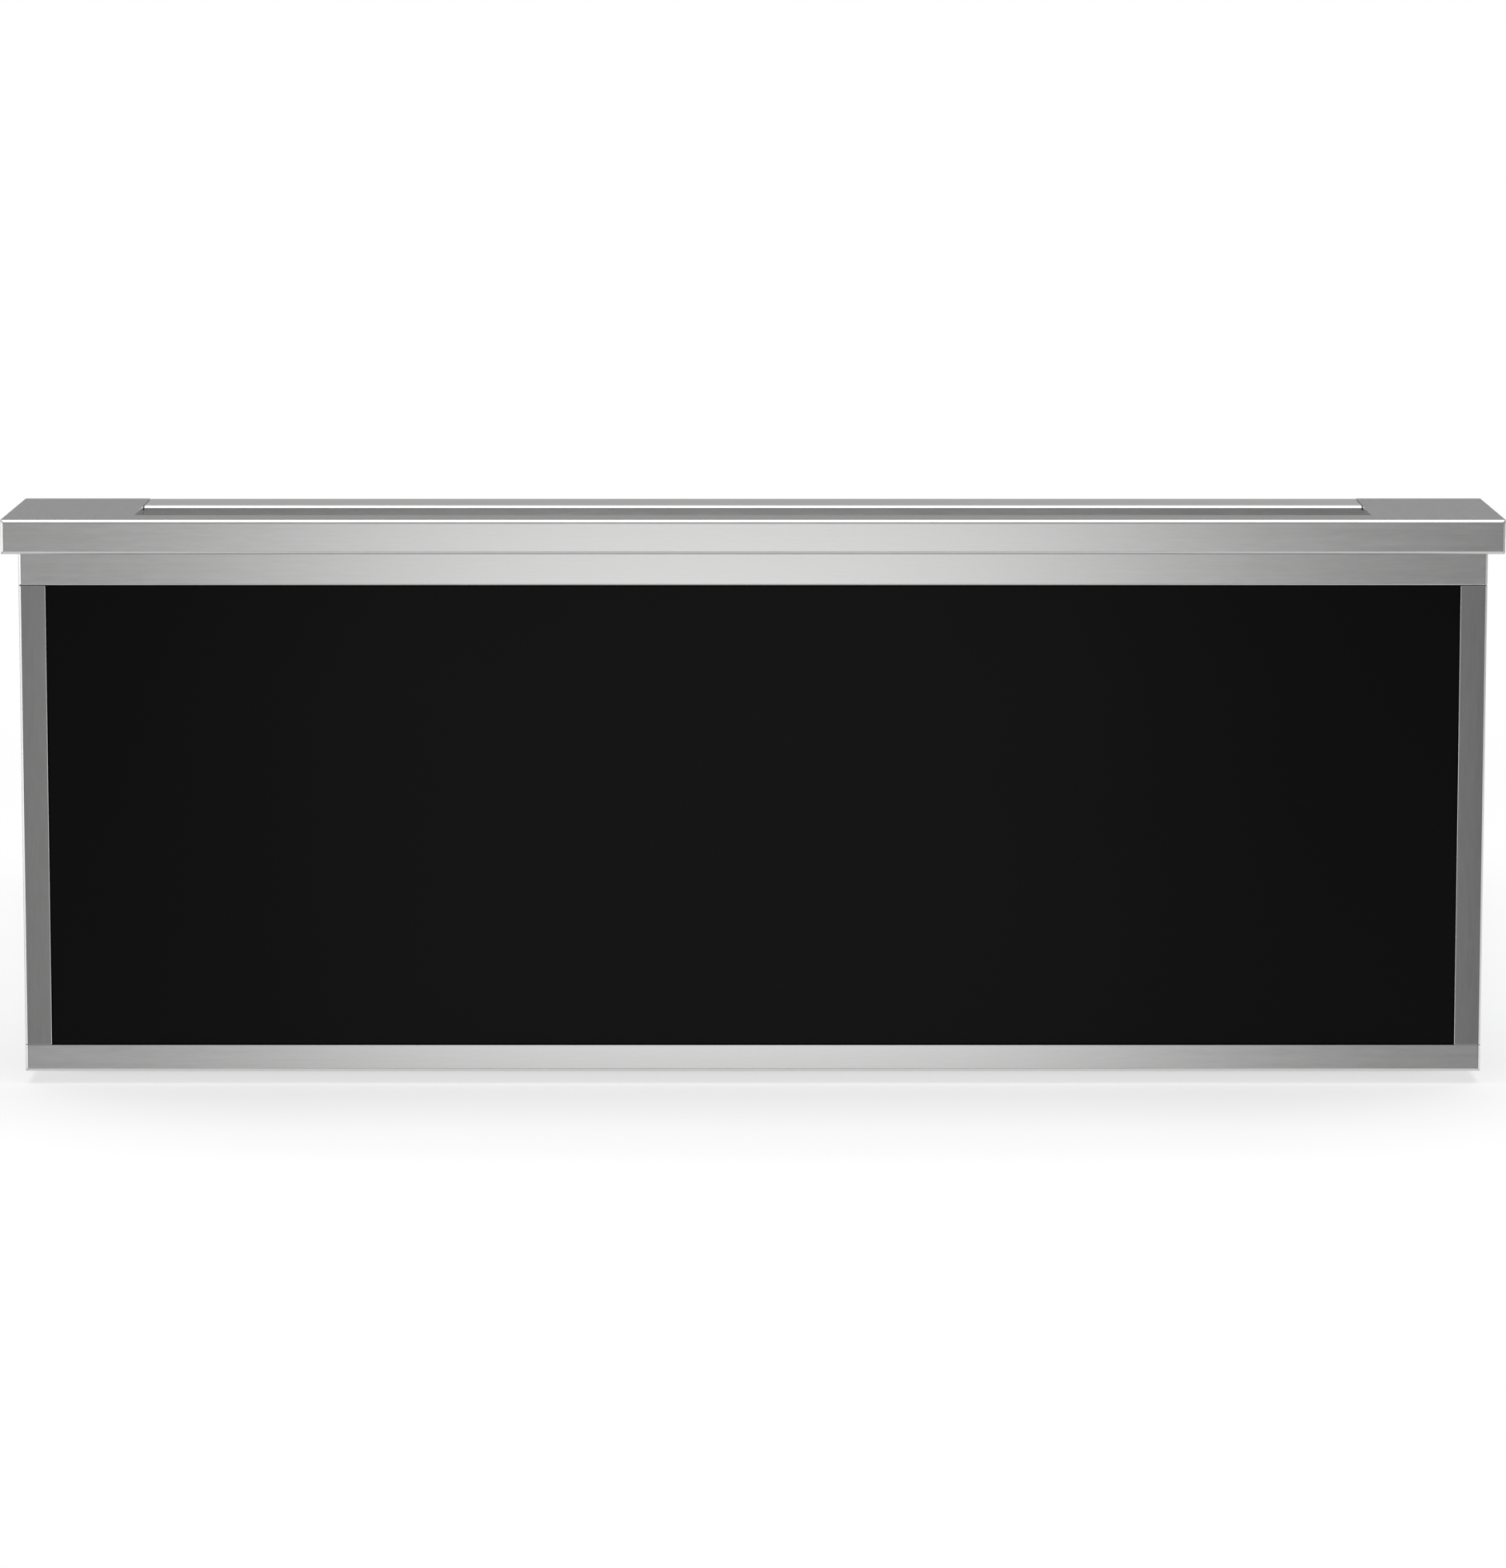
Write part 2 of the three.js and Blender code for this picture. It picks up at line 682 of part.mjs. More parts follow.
/** Plan of the sheathed element: two hairpins each side, joined across the front of the cavity. */
class ElementRun extends THREE.Curve {
  constructor(height) {
    super();
    this.height = height;
    const lanes = [hairpinRadius, 3 * hairpinRadius, 5 * hairpinRadius - 8];
    const backEnd = linerBackY - gap - 1;
    const rearTurn = linerBackY - 100;
    const frontTurn = cavityY + 130;
    const frontRun = cavityY + 26;
    const corner = 40;
    const lastLane = lanes[2];
    this.plan = new THREE.Path();
    this.plan.moveTo(-lanes[0], backEnd);
    this.plan.lineTo(-lanes[0], frontTurn);
    this.plan.absarc(-(lanes[0] + lanes[1]) / 2, frontTurn, hairpinRadius, 0, Math.PI, true);
    this.plan.lineTo(-lanes[1], rearTurn);
    this.plan.absarc(-(lanes[1] + lastLane) / 2, rearTurn, (lastLane - lanes[1]) / 2, 0, Math.PI, false);
    this.plan.lineTo(-lastLane, frontRun + corner);
    this.plan.absarc(-lastLane + corner, frontRun + corner, corner, Math.PI, 1.5 * Math.PI, false);
    this.plan.lineTo(lastLane - corner, frontRun);
    this.plan.absarc(lastLane - corner, frontRun + corner, corner, 1.5 * Math.PI, 2 * Math.PI, false);
    this.plan.lineTo(lastLane, rearTurn);
    this.plan.absarc((lanes[1] + lastLane) / 2, rearTurn, (lastLane - lanes[1]) / 2, 0, Math.PI, false);
    this.plan.lineTo(lanes[1], frontTurn);
    this.plan.absarc((lanes[0] + lanes[1]) / 2, frontTurn, hairpinRadius, 0, Math.PI, true);
    this.plan.lineTo(lanes[0], backEnd);
  }

  getPoint(t, target = new THREE.Vector3()) {
    const point = this.plan.getPointAt(t);
    return target.set(point.x, point.y, this.height);
  }
}

function heatingElement() {
  const section = new THREE.Shape();
  section.absarc(0, 0, elementRadius, 0, 2 * Math.PI, false);
  const height = linerFloorTop + elementLift + elementRadius;
  return new THREE.ExtrudeGeometry(section, {
    steps: 110,
    curveSegments: 4,
    bevelEnabled: false,
    extrudePath: new ElementRun(height),
  });
}

/** Perforated plate that spreads the element's heat under the tub. */
function heatDeflector() {
  const z0 = linerFloorTop + elementLift + 2 * elementRadius + 1.5;
  const margin = 8;
  const plate = box(
    [margin - halfMouth, halfMouth - margin],
    [cavityY + margin, linerBackY - 4 * margin],
    [z0, z0 + deflectorThickness],
  );
  const slots = spaced(4, 100).flatMap((y) => spaced(5, 120).map((x) => {
    const centre = (cavityY + linerBackY) / 2 + y;
    return box([x - 30, x + 30], [centre - 4, centre + 4], [z0 - 1, z0 + deflectorThickness + 1]);
  }));
  return cut(plate, ...slots);
}

/** Sensor probe on the liner's back wall, above the tub's rim. */
function temperatureSensor() {
  const wall = linerBackY - gap;
  return turned([[0, wall - 26], [2, wall - 25], [2, wall - 3], [6, wall - 3], [6, wall], [0, wall]], 230, 188, 12);
}

/** Disc thermostat clipped behind the liner's back wall. */
function limitThermostat() {
  const wall = linerBackY + linerThickness + gap;
  return turned([[0, wall], [9, wall], [9, wall + 5], [6, wall + 6], [6, wall + 12], [0, wall + 12]], -200, 165, 16);
}

// ---- Fan ---------------------------------------------------------------------------------------

function fanMotor() {
  const start = linerBackY + linerThickness + gap;
  const bore = shaftRadius + runningGap;
  const end = start + motorLength;
  const profile = [
    [bore, start], [motorRadius * 0.45, start], [motorRadius * 0.5, start + 3], [motorRadius, start + 4],
    [motorRadius, end - 5], [motorRadius * 0.6, end], [0, end], [0, end - 4], [bore, end - 4], [bore, start],
  ];
  return turned(profile, 0, fanCentre);
}

/** Radial impeller and its shaft, which runs back into the motor. */
function fanImpeller() {
  const hubRadius = 11;
  const backY = fanFrontY + fanWidth;
  const shaftEnd = linerBackY + linerThickness + gap + motorLength - 4 - runningGap;
  const centre = (y) => [0, y, fanCentre];
  const disc = rod(centre(backY - 1.2), centre(backY), fanRadius, 24);
  const hub = rod(centre(fanFrontY), centre(backY), hubRadius, 16);
  const shaft = rod(centre(backY - 1), centre(shaftEnd), shaftRadius, 12);
  const blades = Array.from({ length: fanBlades }, (_, index) => {
    const blade = box([hubRadius - 1, fanRadius - 1], [fanFrontY, backY - 0.6], [-0.7, 0.7]);
    blade.rotateY((index / fanBlades) * 2 * Math.PI);
    return blade.translate(0, 0, fanCentre);
  });
  return join(hub, disc, shaft, ...blades);
}

/** Dished grille in front of the impeller. */
function fanCover() {
  const half = fanRadius + 16;
  const faceY = fanFrontY - runningGap - 6;
  const wall = linerThickness;
  const range = (inset) => [[inset - half, half - inset], [fanCentre - half + inset, fanCentre + half - inset]];
  const pan = extrude(rectangle(...range(0), 16), 'y', [faceY, linerBackY - gap]);
  const hollow = extrude(rectangle(...range(wall), 14), 'y', [faceY + wall, linerBackY]);
  const slots = spaced(7, 14).map((z) => box(
    [-fanRadius * Math.cos(Math.asin(z / (fanRadius + 2))), fanRadius * Math.cos(Math.asin(z / (fanRadius + 2)))],
    [faceY - 1, faceY + wall + 1],
    [fanCentre + z - 3, fanCentre + z + 3],
  ));
  return cut(pan, hollow, ...slots);
}

// ---- Controls ----------------------------------------------------------------------------------

const buttonNames = ['power', 'low', 'medium', 'high', 'timer'];
const buttonsStartX = displayWidth / 2 + 40;
const buttonX = (index) => buttonsStartX + index * buttonPitch;

/** Folded cover over the electronics, open below and in front. */
function controlHousing() {
  const half = sideOuter - gap;
  const frontY = fasciaBackY + gap;
  const cover = box([-half, half], [frontY, podBackY], [chassisHeight + gap, podTop]);
  const hollow = box(
    [podSheet - half, half - podSheet],
    [frontY - 1, podBackY - podSheet],
    [chassisHeight - 1, podTop - podSheet],
  );
  return cut(cover, hollow);
}

function controlFascia() {
  const panel = box([gap - sideInner, sideInner - gap], [fasciaFaceY, fasciaBackY], [fasciaBottom, fasciaTop]);
  const through = [fasciaFaceY - 1, fasciaBackY + 1];
  const holes = buttonNames.map((_, index) => {
    const x = buttonX(index);
    const halfWidth = buttonWidth / 2 + gap;
    const halfHeight = buttonHeight / 2 + gap;
    const shape = rectangle(
      [x - halfWidth, x + halfWidth],
      [fasciaCentre - halfHeight, fasciaCentre + halfHeight],
      3,
    );
    return extrude(shape, 'y', through);
  });
  const window = box(
    [-displayWidth / 2 - gap, displayWidth / 2 + gap],
    through,
    [fasciaCentre - displayHeight / 2 - gap, fasciaCentre + displayHeight / 2 + gap],
  );
  return cut(panel, window, ...holes);
}

function displayLens() {
  return box(
    [-displayWidth / 2, displayWidth / 2],
    [fasciaFaceY + 0.5, fasciaBackY],
    [fasciaCentre - displayHeight / 2, fasciaCentre + displayHeight / 2],
  );
}

/** Push button with a flange that stops it behind the fascia. */
function pushButton(index) {
  const x = buttonX(index);
  const shape = (margin, radius) => rectangle(
    [x - buttonWidth / 2 - margin, x + buttonWidth / 2 + margin],
    [fasciaCentre - buttonHeight / 2 - margin, fasciaCentre + buttonHeight / 2 + margin],
    radius,
  );
  const cap = extrude(shape(0, 3), 'y', [fasciaFaceY - buttonStand, buttonFlangeBackY], 0.5);
  const flange = extrude(shape(1.5, 3), 'y', [fasciaBackY + gap, buttonFlangeBackY]);
  const plunger = rod([x, buttonFlangeBackY - 1, fasciaCentre], [x, buttonBackY, fasciaCentre], 2.5, 12);
  return join(cap, flange, plunger);
}

function controlBoard() {
  const last = buttonX(buttonNames.length - 1) + buttonWidth;
  return box([-displayWidth / 2 - 20, last], [boardY, boardY + boardThickness], [fasciaBottom + 2, fasciaTop - 2]);
}

/** Power board with its relay, transformer and terminal block. */
function powerBoard() {
  const z0 = chassisHeight + 4;
  const z1 = z0 + boardThickness;
  const x = -halfChassis + 40;
  const board = box([x, x + 170], [30, 105], [z0, z1]);
  const transformer = box([x + 10, x + 52], [48, 90], [z1 - 0.5, z1 + 30]);
  const relays = [70, 96].map((offset) => box([x + offset, x + offset + 18], [40, 70], [z1 - 0.5, z1 + 16]));
  const terminals = box([x + 130, x + 160], [40, 95], [z1 - 0.5, z1 + 12]);
  return join(board, transformer, ...relays, terminals);
}

const bushingX = halfChassis - 80;
const bushingZ = 45;

/** Bushing in the back sheet, where the supply cord enters. */
function cordBushing() {
  const neck = bushingRadius;
  const collar = bushingRadius + 4;
  const inside = rearSheetY - gap;
  const outside = chassisDepth + gap;
  const profile = [
    [cordBore, inside - 5], [collar - 1, inside - 5], [collar - 1, inside], [neck, inside],
    [neck, outside], [collar, outside], [collar, outside + 3], [neck, outside + 8],
    [cordBore, outside + 8], [cordBore, inside - 5],
  ];
  return turned(profile, bushingX, bushingZ);
}

// ---- Materials and assembly --------------------------------------------------------------------

const finishes = {
  brushed: { color: 0xb9b9b7, metalness: 1, roughness: 0.32 },
  glass: { color: 0x060606, metalness: 0, roughness: 0.05 },
  liner: { color: 0xa4a6a6, metalness: 1, roughness: 0.4 },
  galvanised: { color: 0x9ea2a4, metalness: 0.9, roughness: 0.5 },
  zinc: { color: 0xb4b8ba, metalness: 1, roughness: 0.35 },
  chrome: { color: 0xd2d4d6, metalness: 1, roughness: 0.12 },
  blackPlastic: { color: 0x111213, metalness: 0, roughness: 0.35 },
  greyPlastic: { color: 0x4c4f52, metalness: 0, roughness: 0.5 },
  rubber: { color: 0x1a1a1a, metalness: 0, roughness: 0.8 },
  wool: { color: 0xd8d2bc, metalness: 0, roughness: 1 },
  board: { color: 0x1f5a34, metalness: 0, roughness: 0.6 },
};

const appliance = new THREE.Group();

function add(name, finish, geometry) {
  const mesh = new THREE.Mesh(geometry, new THREE.MeshStandardMaterial(finishes[finish]));
  mesh.name = name;
  appliance.add(mesh);
}

function addPair(name, finish, makePiece) {
  add(`${name}_left`, finish, makePiece(-1));
  add(`${name}_right`, finish, makePiece(1));
}

add('front_top_rail', 'brushed', frontTopRail());
add('front_bottom_rail', 'brushed', frontBottomRail());
addPair('front_stile', 'brushed', frontStile);
add('front_glass', 'glass', frontGlass());
add('front_insulation', 'wool', frontInsulation());
add('front_inner_panel', 'liner', frontInnerPanel());
add('bar_handle', 'brushed', barHandle());
add('front_gasket', 'rubber', frontGasket());

add('drawer_tub', 'liner', drawerTub());
add('vent_slider', 'liner', ventSlider());
add('vent_guide_upper', 'liner', ventGuide(1));
add('vent_guide_lower', 'liner', ventGuide(-1));
add('wire_rack', 'chrome', wireRack());

addPair('slide_outer', 'zinc', slideOuter);
addPair('slide_middle', 'zinc', slideMiddle);
addPair('slide_inner', 'zinc', slideInner);
addPair('ball_cage_outer', 'zinc', cageOuter);
addPair('ball_cage_inner', 'zinc', cageInner);
addPair('release_lever', 'blackPlastic', releaseLever);

add('chassis_base', 'galvanised', chassisBase());
addPair('chassis_side', 'galvanised', chassisSide);
add('chassis_top', 'galvanised', chassisTop());
add('chassis_rear', 'galvanised', chassisRear());
add('front_frame', 'brushed', frontFrame());
addPair('mounting_flange', 'galvanised', mountingFlange);

addPair('liner_side', 'liner', linerSide);
add('liner_floor', 'liner', linerPlate([linerFloor, linerFloorTop]));
add('liner_top', 'liner', linerPlate([linerTop - linerThickness, linerTop]));
add('liner_rear', 'liner', linerRear());
add('insulation_blanket', 'wool', insulationBlanket());
add('insulation_base', 'wool', insulationBase());
add('heating_element', 'greyPlastic', heatingElement());
add('heat_deflector', 'liner', heatDeflector());
add('temperature_sensor', 'chrome', temperatureSensor());
add('limit_thermostat', 'greyPlastic', limitThermostat());

add('fan_motor', 'greyPlastic', fanMotor());
add('fan_impeller', 'liner', fanImpeller());
add('fan_cover', 'liner', fanCover());

add('control_housing', 'galvanised', controlHousing());
add('control_fascia', 'blackPlastic', controlFascia());
add('display_lens', 'glass', displayLens());
add('control_board', 'board', controlBoard());
add('power_board', 'board', powerBoard());
buttonNames.forEach((name, index) => add(`button_${name}`, 'greyPlastic', pushButton(index)));
add('cord_bushing', 'blackPlastic', cordBushing());

const bounds = new THREE.Box3().setFromObject(appliance);
appliance.position.y = -(bounds.min.y + bounds.max.y) / 2;

export default appliance;
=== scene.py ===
"""A built-in warming drawer: its looks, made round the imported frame."""

import json
import math

import bmesh
import bpy
from mathutils import Matrix, Vector


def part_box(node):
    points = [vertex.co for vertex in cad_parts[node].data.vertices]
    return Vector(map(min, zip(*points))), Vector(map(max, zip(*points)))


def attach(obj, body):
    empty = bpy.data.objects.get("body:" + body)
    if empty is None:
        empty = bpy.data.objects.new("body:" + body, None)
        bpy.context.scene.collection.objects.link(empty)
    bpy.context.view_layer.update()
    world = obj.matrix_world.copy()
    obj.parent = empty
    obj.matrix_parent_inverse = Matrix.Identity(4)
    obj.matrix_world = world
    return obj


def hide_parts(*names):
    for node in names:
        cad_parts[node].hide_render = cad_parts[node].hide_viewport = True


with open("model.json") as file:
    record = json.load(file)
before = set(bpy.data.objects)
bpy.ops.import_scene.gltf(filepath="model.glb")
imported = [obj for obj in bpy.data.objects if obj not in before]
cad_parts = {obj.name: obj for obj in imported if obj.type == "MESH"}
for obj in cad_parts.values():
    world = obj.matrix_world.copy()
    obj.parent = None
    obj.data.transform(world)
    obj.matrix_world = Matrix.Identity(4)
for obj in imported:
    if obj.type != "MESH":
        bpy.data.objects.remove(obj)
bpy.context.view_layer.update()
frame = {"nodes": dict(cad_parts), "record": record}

# ---- Camera ------------------------------------------------------------------------------------
# A long lens a little above the drawer and square to its front. It looks down by a few degrees, and
# its shift puts the drawer at the middle of the view.

rail_low, rail_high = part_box("front_top_rail")
camera_distance = 2.772
camera_rise = 0.3142
camera_pitch = 6.5
camera_data = bpy.data.cameras.new("camera")
camera_data.sensor_width = 36
camera_data.lens = 124.7
camera_data.shift_y = -0.1756
camera = bpy.data.objects.new("camera", camera_data)
camera.location = (0, rail_low.y - camera_distance, rail_high.z + camera_rise)
camera.rotation_euler = (math.radians(90 - camera_pitch), 0, 0)
bpy.context.scene.collection.objects.link(camera)
bpy.context.scene.camera = camera

# ---- Floor, backdrop and lamps -----------------------------------------------------------------
# A pale floor that fades into a white room, with soft boxes. The one low in front gives the steel its
# bright middle, and the ones above, below and on the left light the eased edges. Two more are low
# behind it and on the right, where upright sheet seen from above reflects them.


class Value:
    """A number that varies over a surface. Arithmetic on it adds Math nodes."""

    def __init__(self, finish, socket):
        self.finish = finish
        self.socket = socket

    def combine(self, operation, first, second):
        return self.finish.node("ShaderNodeMath", {"operation": operation}, {0: first, 1: second})

    def __add__(self, other):
        return self.combine("ADD", self, other)

    def __radd__(self, other):
        return self.combine("ADD", other, self)

    def __mul__(self, other):
        return self.combine("MULTIPLY", self, other)

    def __rmul__(self, other):
        return self.combine("MULTIPLY", other, self)


class Finish:
    """A material with one Principled shader, and the nodes that feed it."""

    def __init__(self, name, **constants):
        self.material = bpy.data.materials.new(name)
        self.material.use_nodes = True
        self.tree = self.material.node_tree
        self.shader = self.tree.nodes["Principled BSDF"]
        for socket, value in constants.items():
            self.shader.inputs[socket.replace("_", " ")].default_value = value

    def node(self, kind, settings, inputs, output=0):
        """Adds a node: its settings first, then the values or links of its sockets."""
        made = self.tree.nodes.new(kind)
        for key, value in settings.items():
            setattr(made, key, value)
        for key, value in inputs.items():
            if isinstance(value, Value):
                self.tree.links.new(value.socket, made.inputs[key])
            else:
                made.inputs[key].default_value = value
        return Value(self, made.outputs[output])

    def feed(self, **sockets):
        for socket, value in sockets.items():
            self.tree.links.new(value.socket, self.shader.inputs[socket.replace("_", " ")])

    def place(self, stretch=(1, 1, 1)):
        """Object coordinates, multiplied along each axis."""
        coordinates = self.node("ShaderNodeTexCoord", {}, {}, "Object")
        return self.node("ShaderNodeMapping", {}, {"Vector": coordinates, "Scale": stretch})

    def noise(self, stretch, detail=2.0, roughness=0.5):
        """Smooth noise from 0 to 1, with its cells stretched by the axis scales in 1/m."""
        settings = {"Scale": 1.0, "Detail": detail, "Roughness": roughness}
        return self.node("ShaderNodeTexNoise", {}, {"Vector": self.place(stretch), **settings})

    def mix(self, factor, first, second):
        """A colour between two colours."""
        return self.node("ShaderNodeMix", {"data_type": "RGBA"}, {0: factor, 6: first, 7: second}, 2)

    def bump(self, height, distance, strength):
        """A normal from a height that is a share of a distance in metres."""
        inputs = {"Height": height, "Distance": distance, "Strength": strength}
        return self.node("ShaderNodeBump", {}, inputs)


def grey(value, tint=(1, 1, 1)):
    """A grey with a slight tint, as a colour."""
    return (value * tint[0], value * tint[1], value * tint[2], 1)


def square(name, half_size, place, finish):
    """A flat square, not part of the drawer."""
    bm = bmesh.new()
    bmesh.ops.create_grid(bm, x_segments=1, y_segments=1, size=half_size)
    data = bpy.data.meshes.new(name)
    bm.to_mesh(data)
    bm.free()
    data.materials.append(finish.material)
    made = bpy.data.objects.new(name, data)
    made.location = place
    bpy.context.scene.collection.objects.link(made)
    return made


fade_start, fade_end = 0.5, 1.2
floor_drop = 0.0005
floor_finish = Finish(
    "pale_floor",
    Roughness=0.9,
    Base_Color=grey(0.88),
    Emission_Color=grey(1.0),
    Emission_Strength=0.45,
)
from_middle = floor_finish.node(
    "ShaderNodeVectorMath", {"operation": "LENGTH"}, {0: floor_finish.place()}, 1
)
floor_finish.feed(
    Alpha=floor_finish.node(
        "ShaderNodeMapRange",
        {"interpolation_type": "SMOOTHSTEP"},
        {0: from_middle, 1: fade_start, 2: fade_end, 3: 1.0, 4: 0.0},
    )
)
floor = square("floor", 1.3, (0, 0, -floor_drop), floor_finish)
floor.visible_glossy = False
floor.visible_shadow = False

world = bpy.data.worlds.new("white_room")
world.use_nodes = True
bpy.context.scene.world = world
room = world.node_tree
light_path = room.nodes.new("ShaderNodeLightPath")
room_light = room.nodes["Background"]
room_light.inputs["Color"].default_value = grey(1.0)
room_light.inputs["Strength"].default_value = 0.36
seen_white = room.nodes.new("ShaderNodeBackground")
seen_white.inputs["Color"].default_value = grey(1.0)
room_mix = room.nodes.new("ShaderNodeMixShader")
room.links.new(light_path.outputs["Is Camera Ray"], room_mix.inputs["Fac"])
room.links.new(room_light.outputs["Background"], room_mix.inputs[1])
room.links.new(seen_white.outputs["Background"], room_mix.inputs[2])
room.links.new(room_mix.outputs["Shader"], room.nodes["World Output"].inputs["Surface"])
bpy.context.scene.view_settings.view_transform = "Standard"


def soft_box(name, place, aim, width, height, radiance):
    """A rectangular soft light at a place, turned to face a point, hidden from the camera."""
    lamp = bpy.data.lights.new(name, "AREA")
    lamp.shape = "RECTANGLE"
    lamp.size, lamp.size_y = width, height
    lamp.energy = radiance * math.pi * width * height
    holder = bpy.data.objects.new(name, lamp)
    holder.location = place
    holder.rotation_euler = (Vector(aim) - Vector(place)).to_track_quat("-Z", "Y").to_euler()
    holder.visible_camera = False
    bpy.context.scene.collection.objects.link(holder)


# Where each box is, the point that it faces, its width and height in metres, and its radiance.
soft_box("front_box", (-0.03, -1.5, -0.03), (-0.03, 0, -0.03), 0.62, 0.66, 1.0)
soft_box("top_box", (0, -0.35, 2.2), (0, -0.3, 0), 2.6, 1.6, 1.7)
soft_box("left_box", (-2.4, -0.5, -0.05), (0, -0.3, 0.1), 1.6, 0.9, 1.5)
soft_box("low_box", (0, -0.5, -1.6), (0, -0.3, 0), 3.0, 2.6, 0.5)
soft_box("back_box", (0, 2.6, -0.7), (0, 0.2, 0.1), 6.0, 1.3, 0.9)
soft_box("right_box", (2.4, 0.4, -0.7), (0, 0.1, 0.1), 2.4, 1.3, 0.8)

# A dark card at the right of the camera, seen only in reflections, which shades the steel's right end.
card_finish = Finish(
    "dark_card",
    Roughness=1.0,
    Base_Color=grey(0.0),
    Emission_Color=grey(1.0),
    Emission_Strength=0.22,
)
card = square("dark_card", 0.5, (1.02, -1.62, 0), card_finish)
card.rotation_euler = (math.radians(90), 0, 0)
card.visible_camera = False
card.visible_diffuse = False
card.visible_shadow = False

# ---- Handle ------------------------------------------------------------------------------------
# A ledge of ground stainless: a flat bar and two end blocks seam-welded into one U, with thin tails
# back over the top rail. Its front edges have a ground chamfer that catches the light.


def brushed_steel(name, grain, tone, roughness=0.3):
    """Stainless steel, belt-ground along one axis: long fine streaks in tone, gloss and height."""
    finish = Finish(name, Metallic=1.0)
    bands = finish.noise([5 if axis == grain else 420 for axis in "xyz"], 3.0, 0.6)
    strokes = finish.noise([85 if axis == grain else 750 for axis in "xyz"], 2.0, 0.6)
    scratches = finish.noise([20 if axis == grain else 2600 for axis in "xyz"], 2.0, 0.7)
    amount = bands * 0.3 + strokes * 0.5 + scratches * 0.2
    finish.feed(
        Base_Color=finish.mix(amount, grey(tone * 0.84, (1, 0.995, 0.985)), grey(tone * 1.16)),
        Roughness=amount * 0.14 + (roughness - 0.07),
        Normal=finish.bump(strokes * 0.6 + scratches * 0.4, 0.00004, 0.35),
    )
    return finish.material


def flat_solid(corners, axis, low, high):
    """A flat face pushed along one axis into a solid. Its corners leave that axis out."""
    bm = bmesh.new()
    points = []
    for first, second in corners:
        point = [first, second]
        point.insert("xyz".index(axis), low)
        points.append(bm.verts.new(point))
    face = bm.faces.new(points)
    pushed = bmesh.ops.extrude_face_region(bm, geom=[face])
    travel = Vector([high - low if name == axis else 0 for name in "xyz"])
    moved = [item for item in pushed["geom"] if isinstance(item, bmesh.types.BMVert)]
    bmesh.ops.translate(bm, verts=moved, vec=travel)
    bmesh.ops.recalc_face_normals(bm, faces=bm.faces)
    return bm


def ease(bm, width, segments, where=lambda edge: True):
    """Rounds the sharp edges that a test picks. One segment makes a chamfer."""
    bm.edges.ensure_lookup_table()
    sharp = [
        edge
        for edge in bm.edges
        if len(edge.link_faces) == 2 and edge.calc_face_angle() > math.radians(35) and where(edge)
    ]
    bmesh.ops.bevel(
        bm,
        geom=sharp,
        offset=width,
        offset_type="OFFSET",
        segments=segments,
        profile=0.5,
        affect="EDGES",
        clamp_overlap=True,
        material=-1,
    )


def middle(edge):
    return (edge.verts[0].co + edge.verts[1].co) / 2


def near(first, second):
    """True where two coordinates agree within a hundredth of a millimetre."""
    return abs(first - second) < 1e-5


body_of_node = {
    node: body for body, nodes in frame["record"]["behaviour"]["bodies"].items() for node in nodes
}


def piece(name, bm, material, stands_for, body=None, smooth=40):
    """Ends a bmesh as an object that replaces CAD nodes and rides on their body."""
    data = bpy.data.meshes.new(name)
    bm.to_mesh(data)
    bm.free()
    data.materials.append(material)
    data.shade_smooth()
    data.set_sharp_from_angle(angle=math.radians(smooth))
    made = bpy.data.objects.new(name, data)
    bpy.context.scene.collection.objects.link(made)
    normals = made.modifiers.new("flat_faces", "WEIGHTED_NORMAL")
    normals.keep_sharp = True
    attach(made, body or body_of_node[stands_for[0]])
    if stands_for:
        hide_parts(*stands_for)
    return made


def refinish(made, material, where):
    """Gives the faces that a test picks another finish."""
    made.data.materials.append(material)
    for face in made.data.polygons:
        if where(face):
            face.material_index = len(made.data.materials) - 1


rail_steel = brushed_steel("brushed_steel_rails", "x", 0.66)
block_steel = brushed_steel("brushed_steel_depth", "y", 0.65, 0.34)
handle_low, handle_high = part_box("bar_handle")
block_width = 0.065
bar_depth = 0.021
tail_thickness = 0.0025
weld_gap = 0.0003
slot_half = handle_high.x - block_width
bar_back = handle_low.y + bar_depth
block_back = rail_low.y - weld_gap
edge_chamfer = 0.0014
edge_round = 0.0004

handle_mesh = flat_solid(
    [
        (handle_low.x, handle_low.y),
        (handle_high.x, handle_low.y),
        (handle_high.x, block_back),
        (slot_half, block_back),
        (slot_half, bar_back),
        (-slot_half, bar_back),
        (-slot_half, block_back),
        (handle_low.x, block_back),
    ],
    "z",
    handle_low.z,
    handle_high.z,
)
# The blocks meet the bar along two seams. The tails grow from a strip at the top of each block's back.
for place, normal in (
    ((0, 0, handle_high.z - tail_thickness), (0, 0, 1)),
    ((slot_half, 0, 0), (1, 0, 0)),
    ((-slot_half, 0, 0), (1, 0, 0)),
):
    bmesh.ops.bisect_plane(
        handle_mesh,
        geom=handle_mesh.verts[:] + handle_mesh.edges[:] + handle_mesh.faces[:],
        dist=1e-6,
        plane_co=place,
        plane_no=normal,
    )
tail_faces = [
    face
    for face in handle_mesh.faces
    if face.normal.y > 0.9
    and face.calc_center_median().z > handle_high.z - tail_thickness
    and abs(face.calc_center_median().x) > slot_half
]
tails = bmesh.ops.extrude_face_region(handle_mesh, geom=tail_faces)
bmesh.ops.delete(handle_mesh, geom=tail_faces, context="FACES_ONLY")
bmesh.ops.translate(
    handle_mesh,
    verts=[item for item in tails["geom"] if isinstance(item, bmesh.types.BMVert)],
    vec=(0, handle_high.y - block_back, 0),
)
bmesh.ops.recalc_face_normals(handle_mesh, faces=handle_mesh.faces)
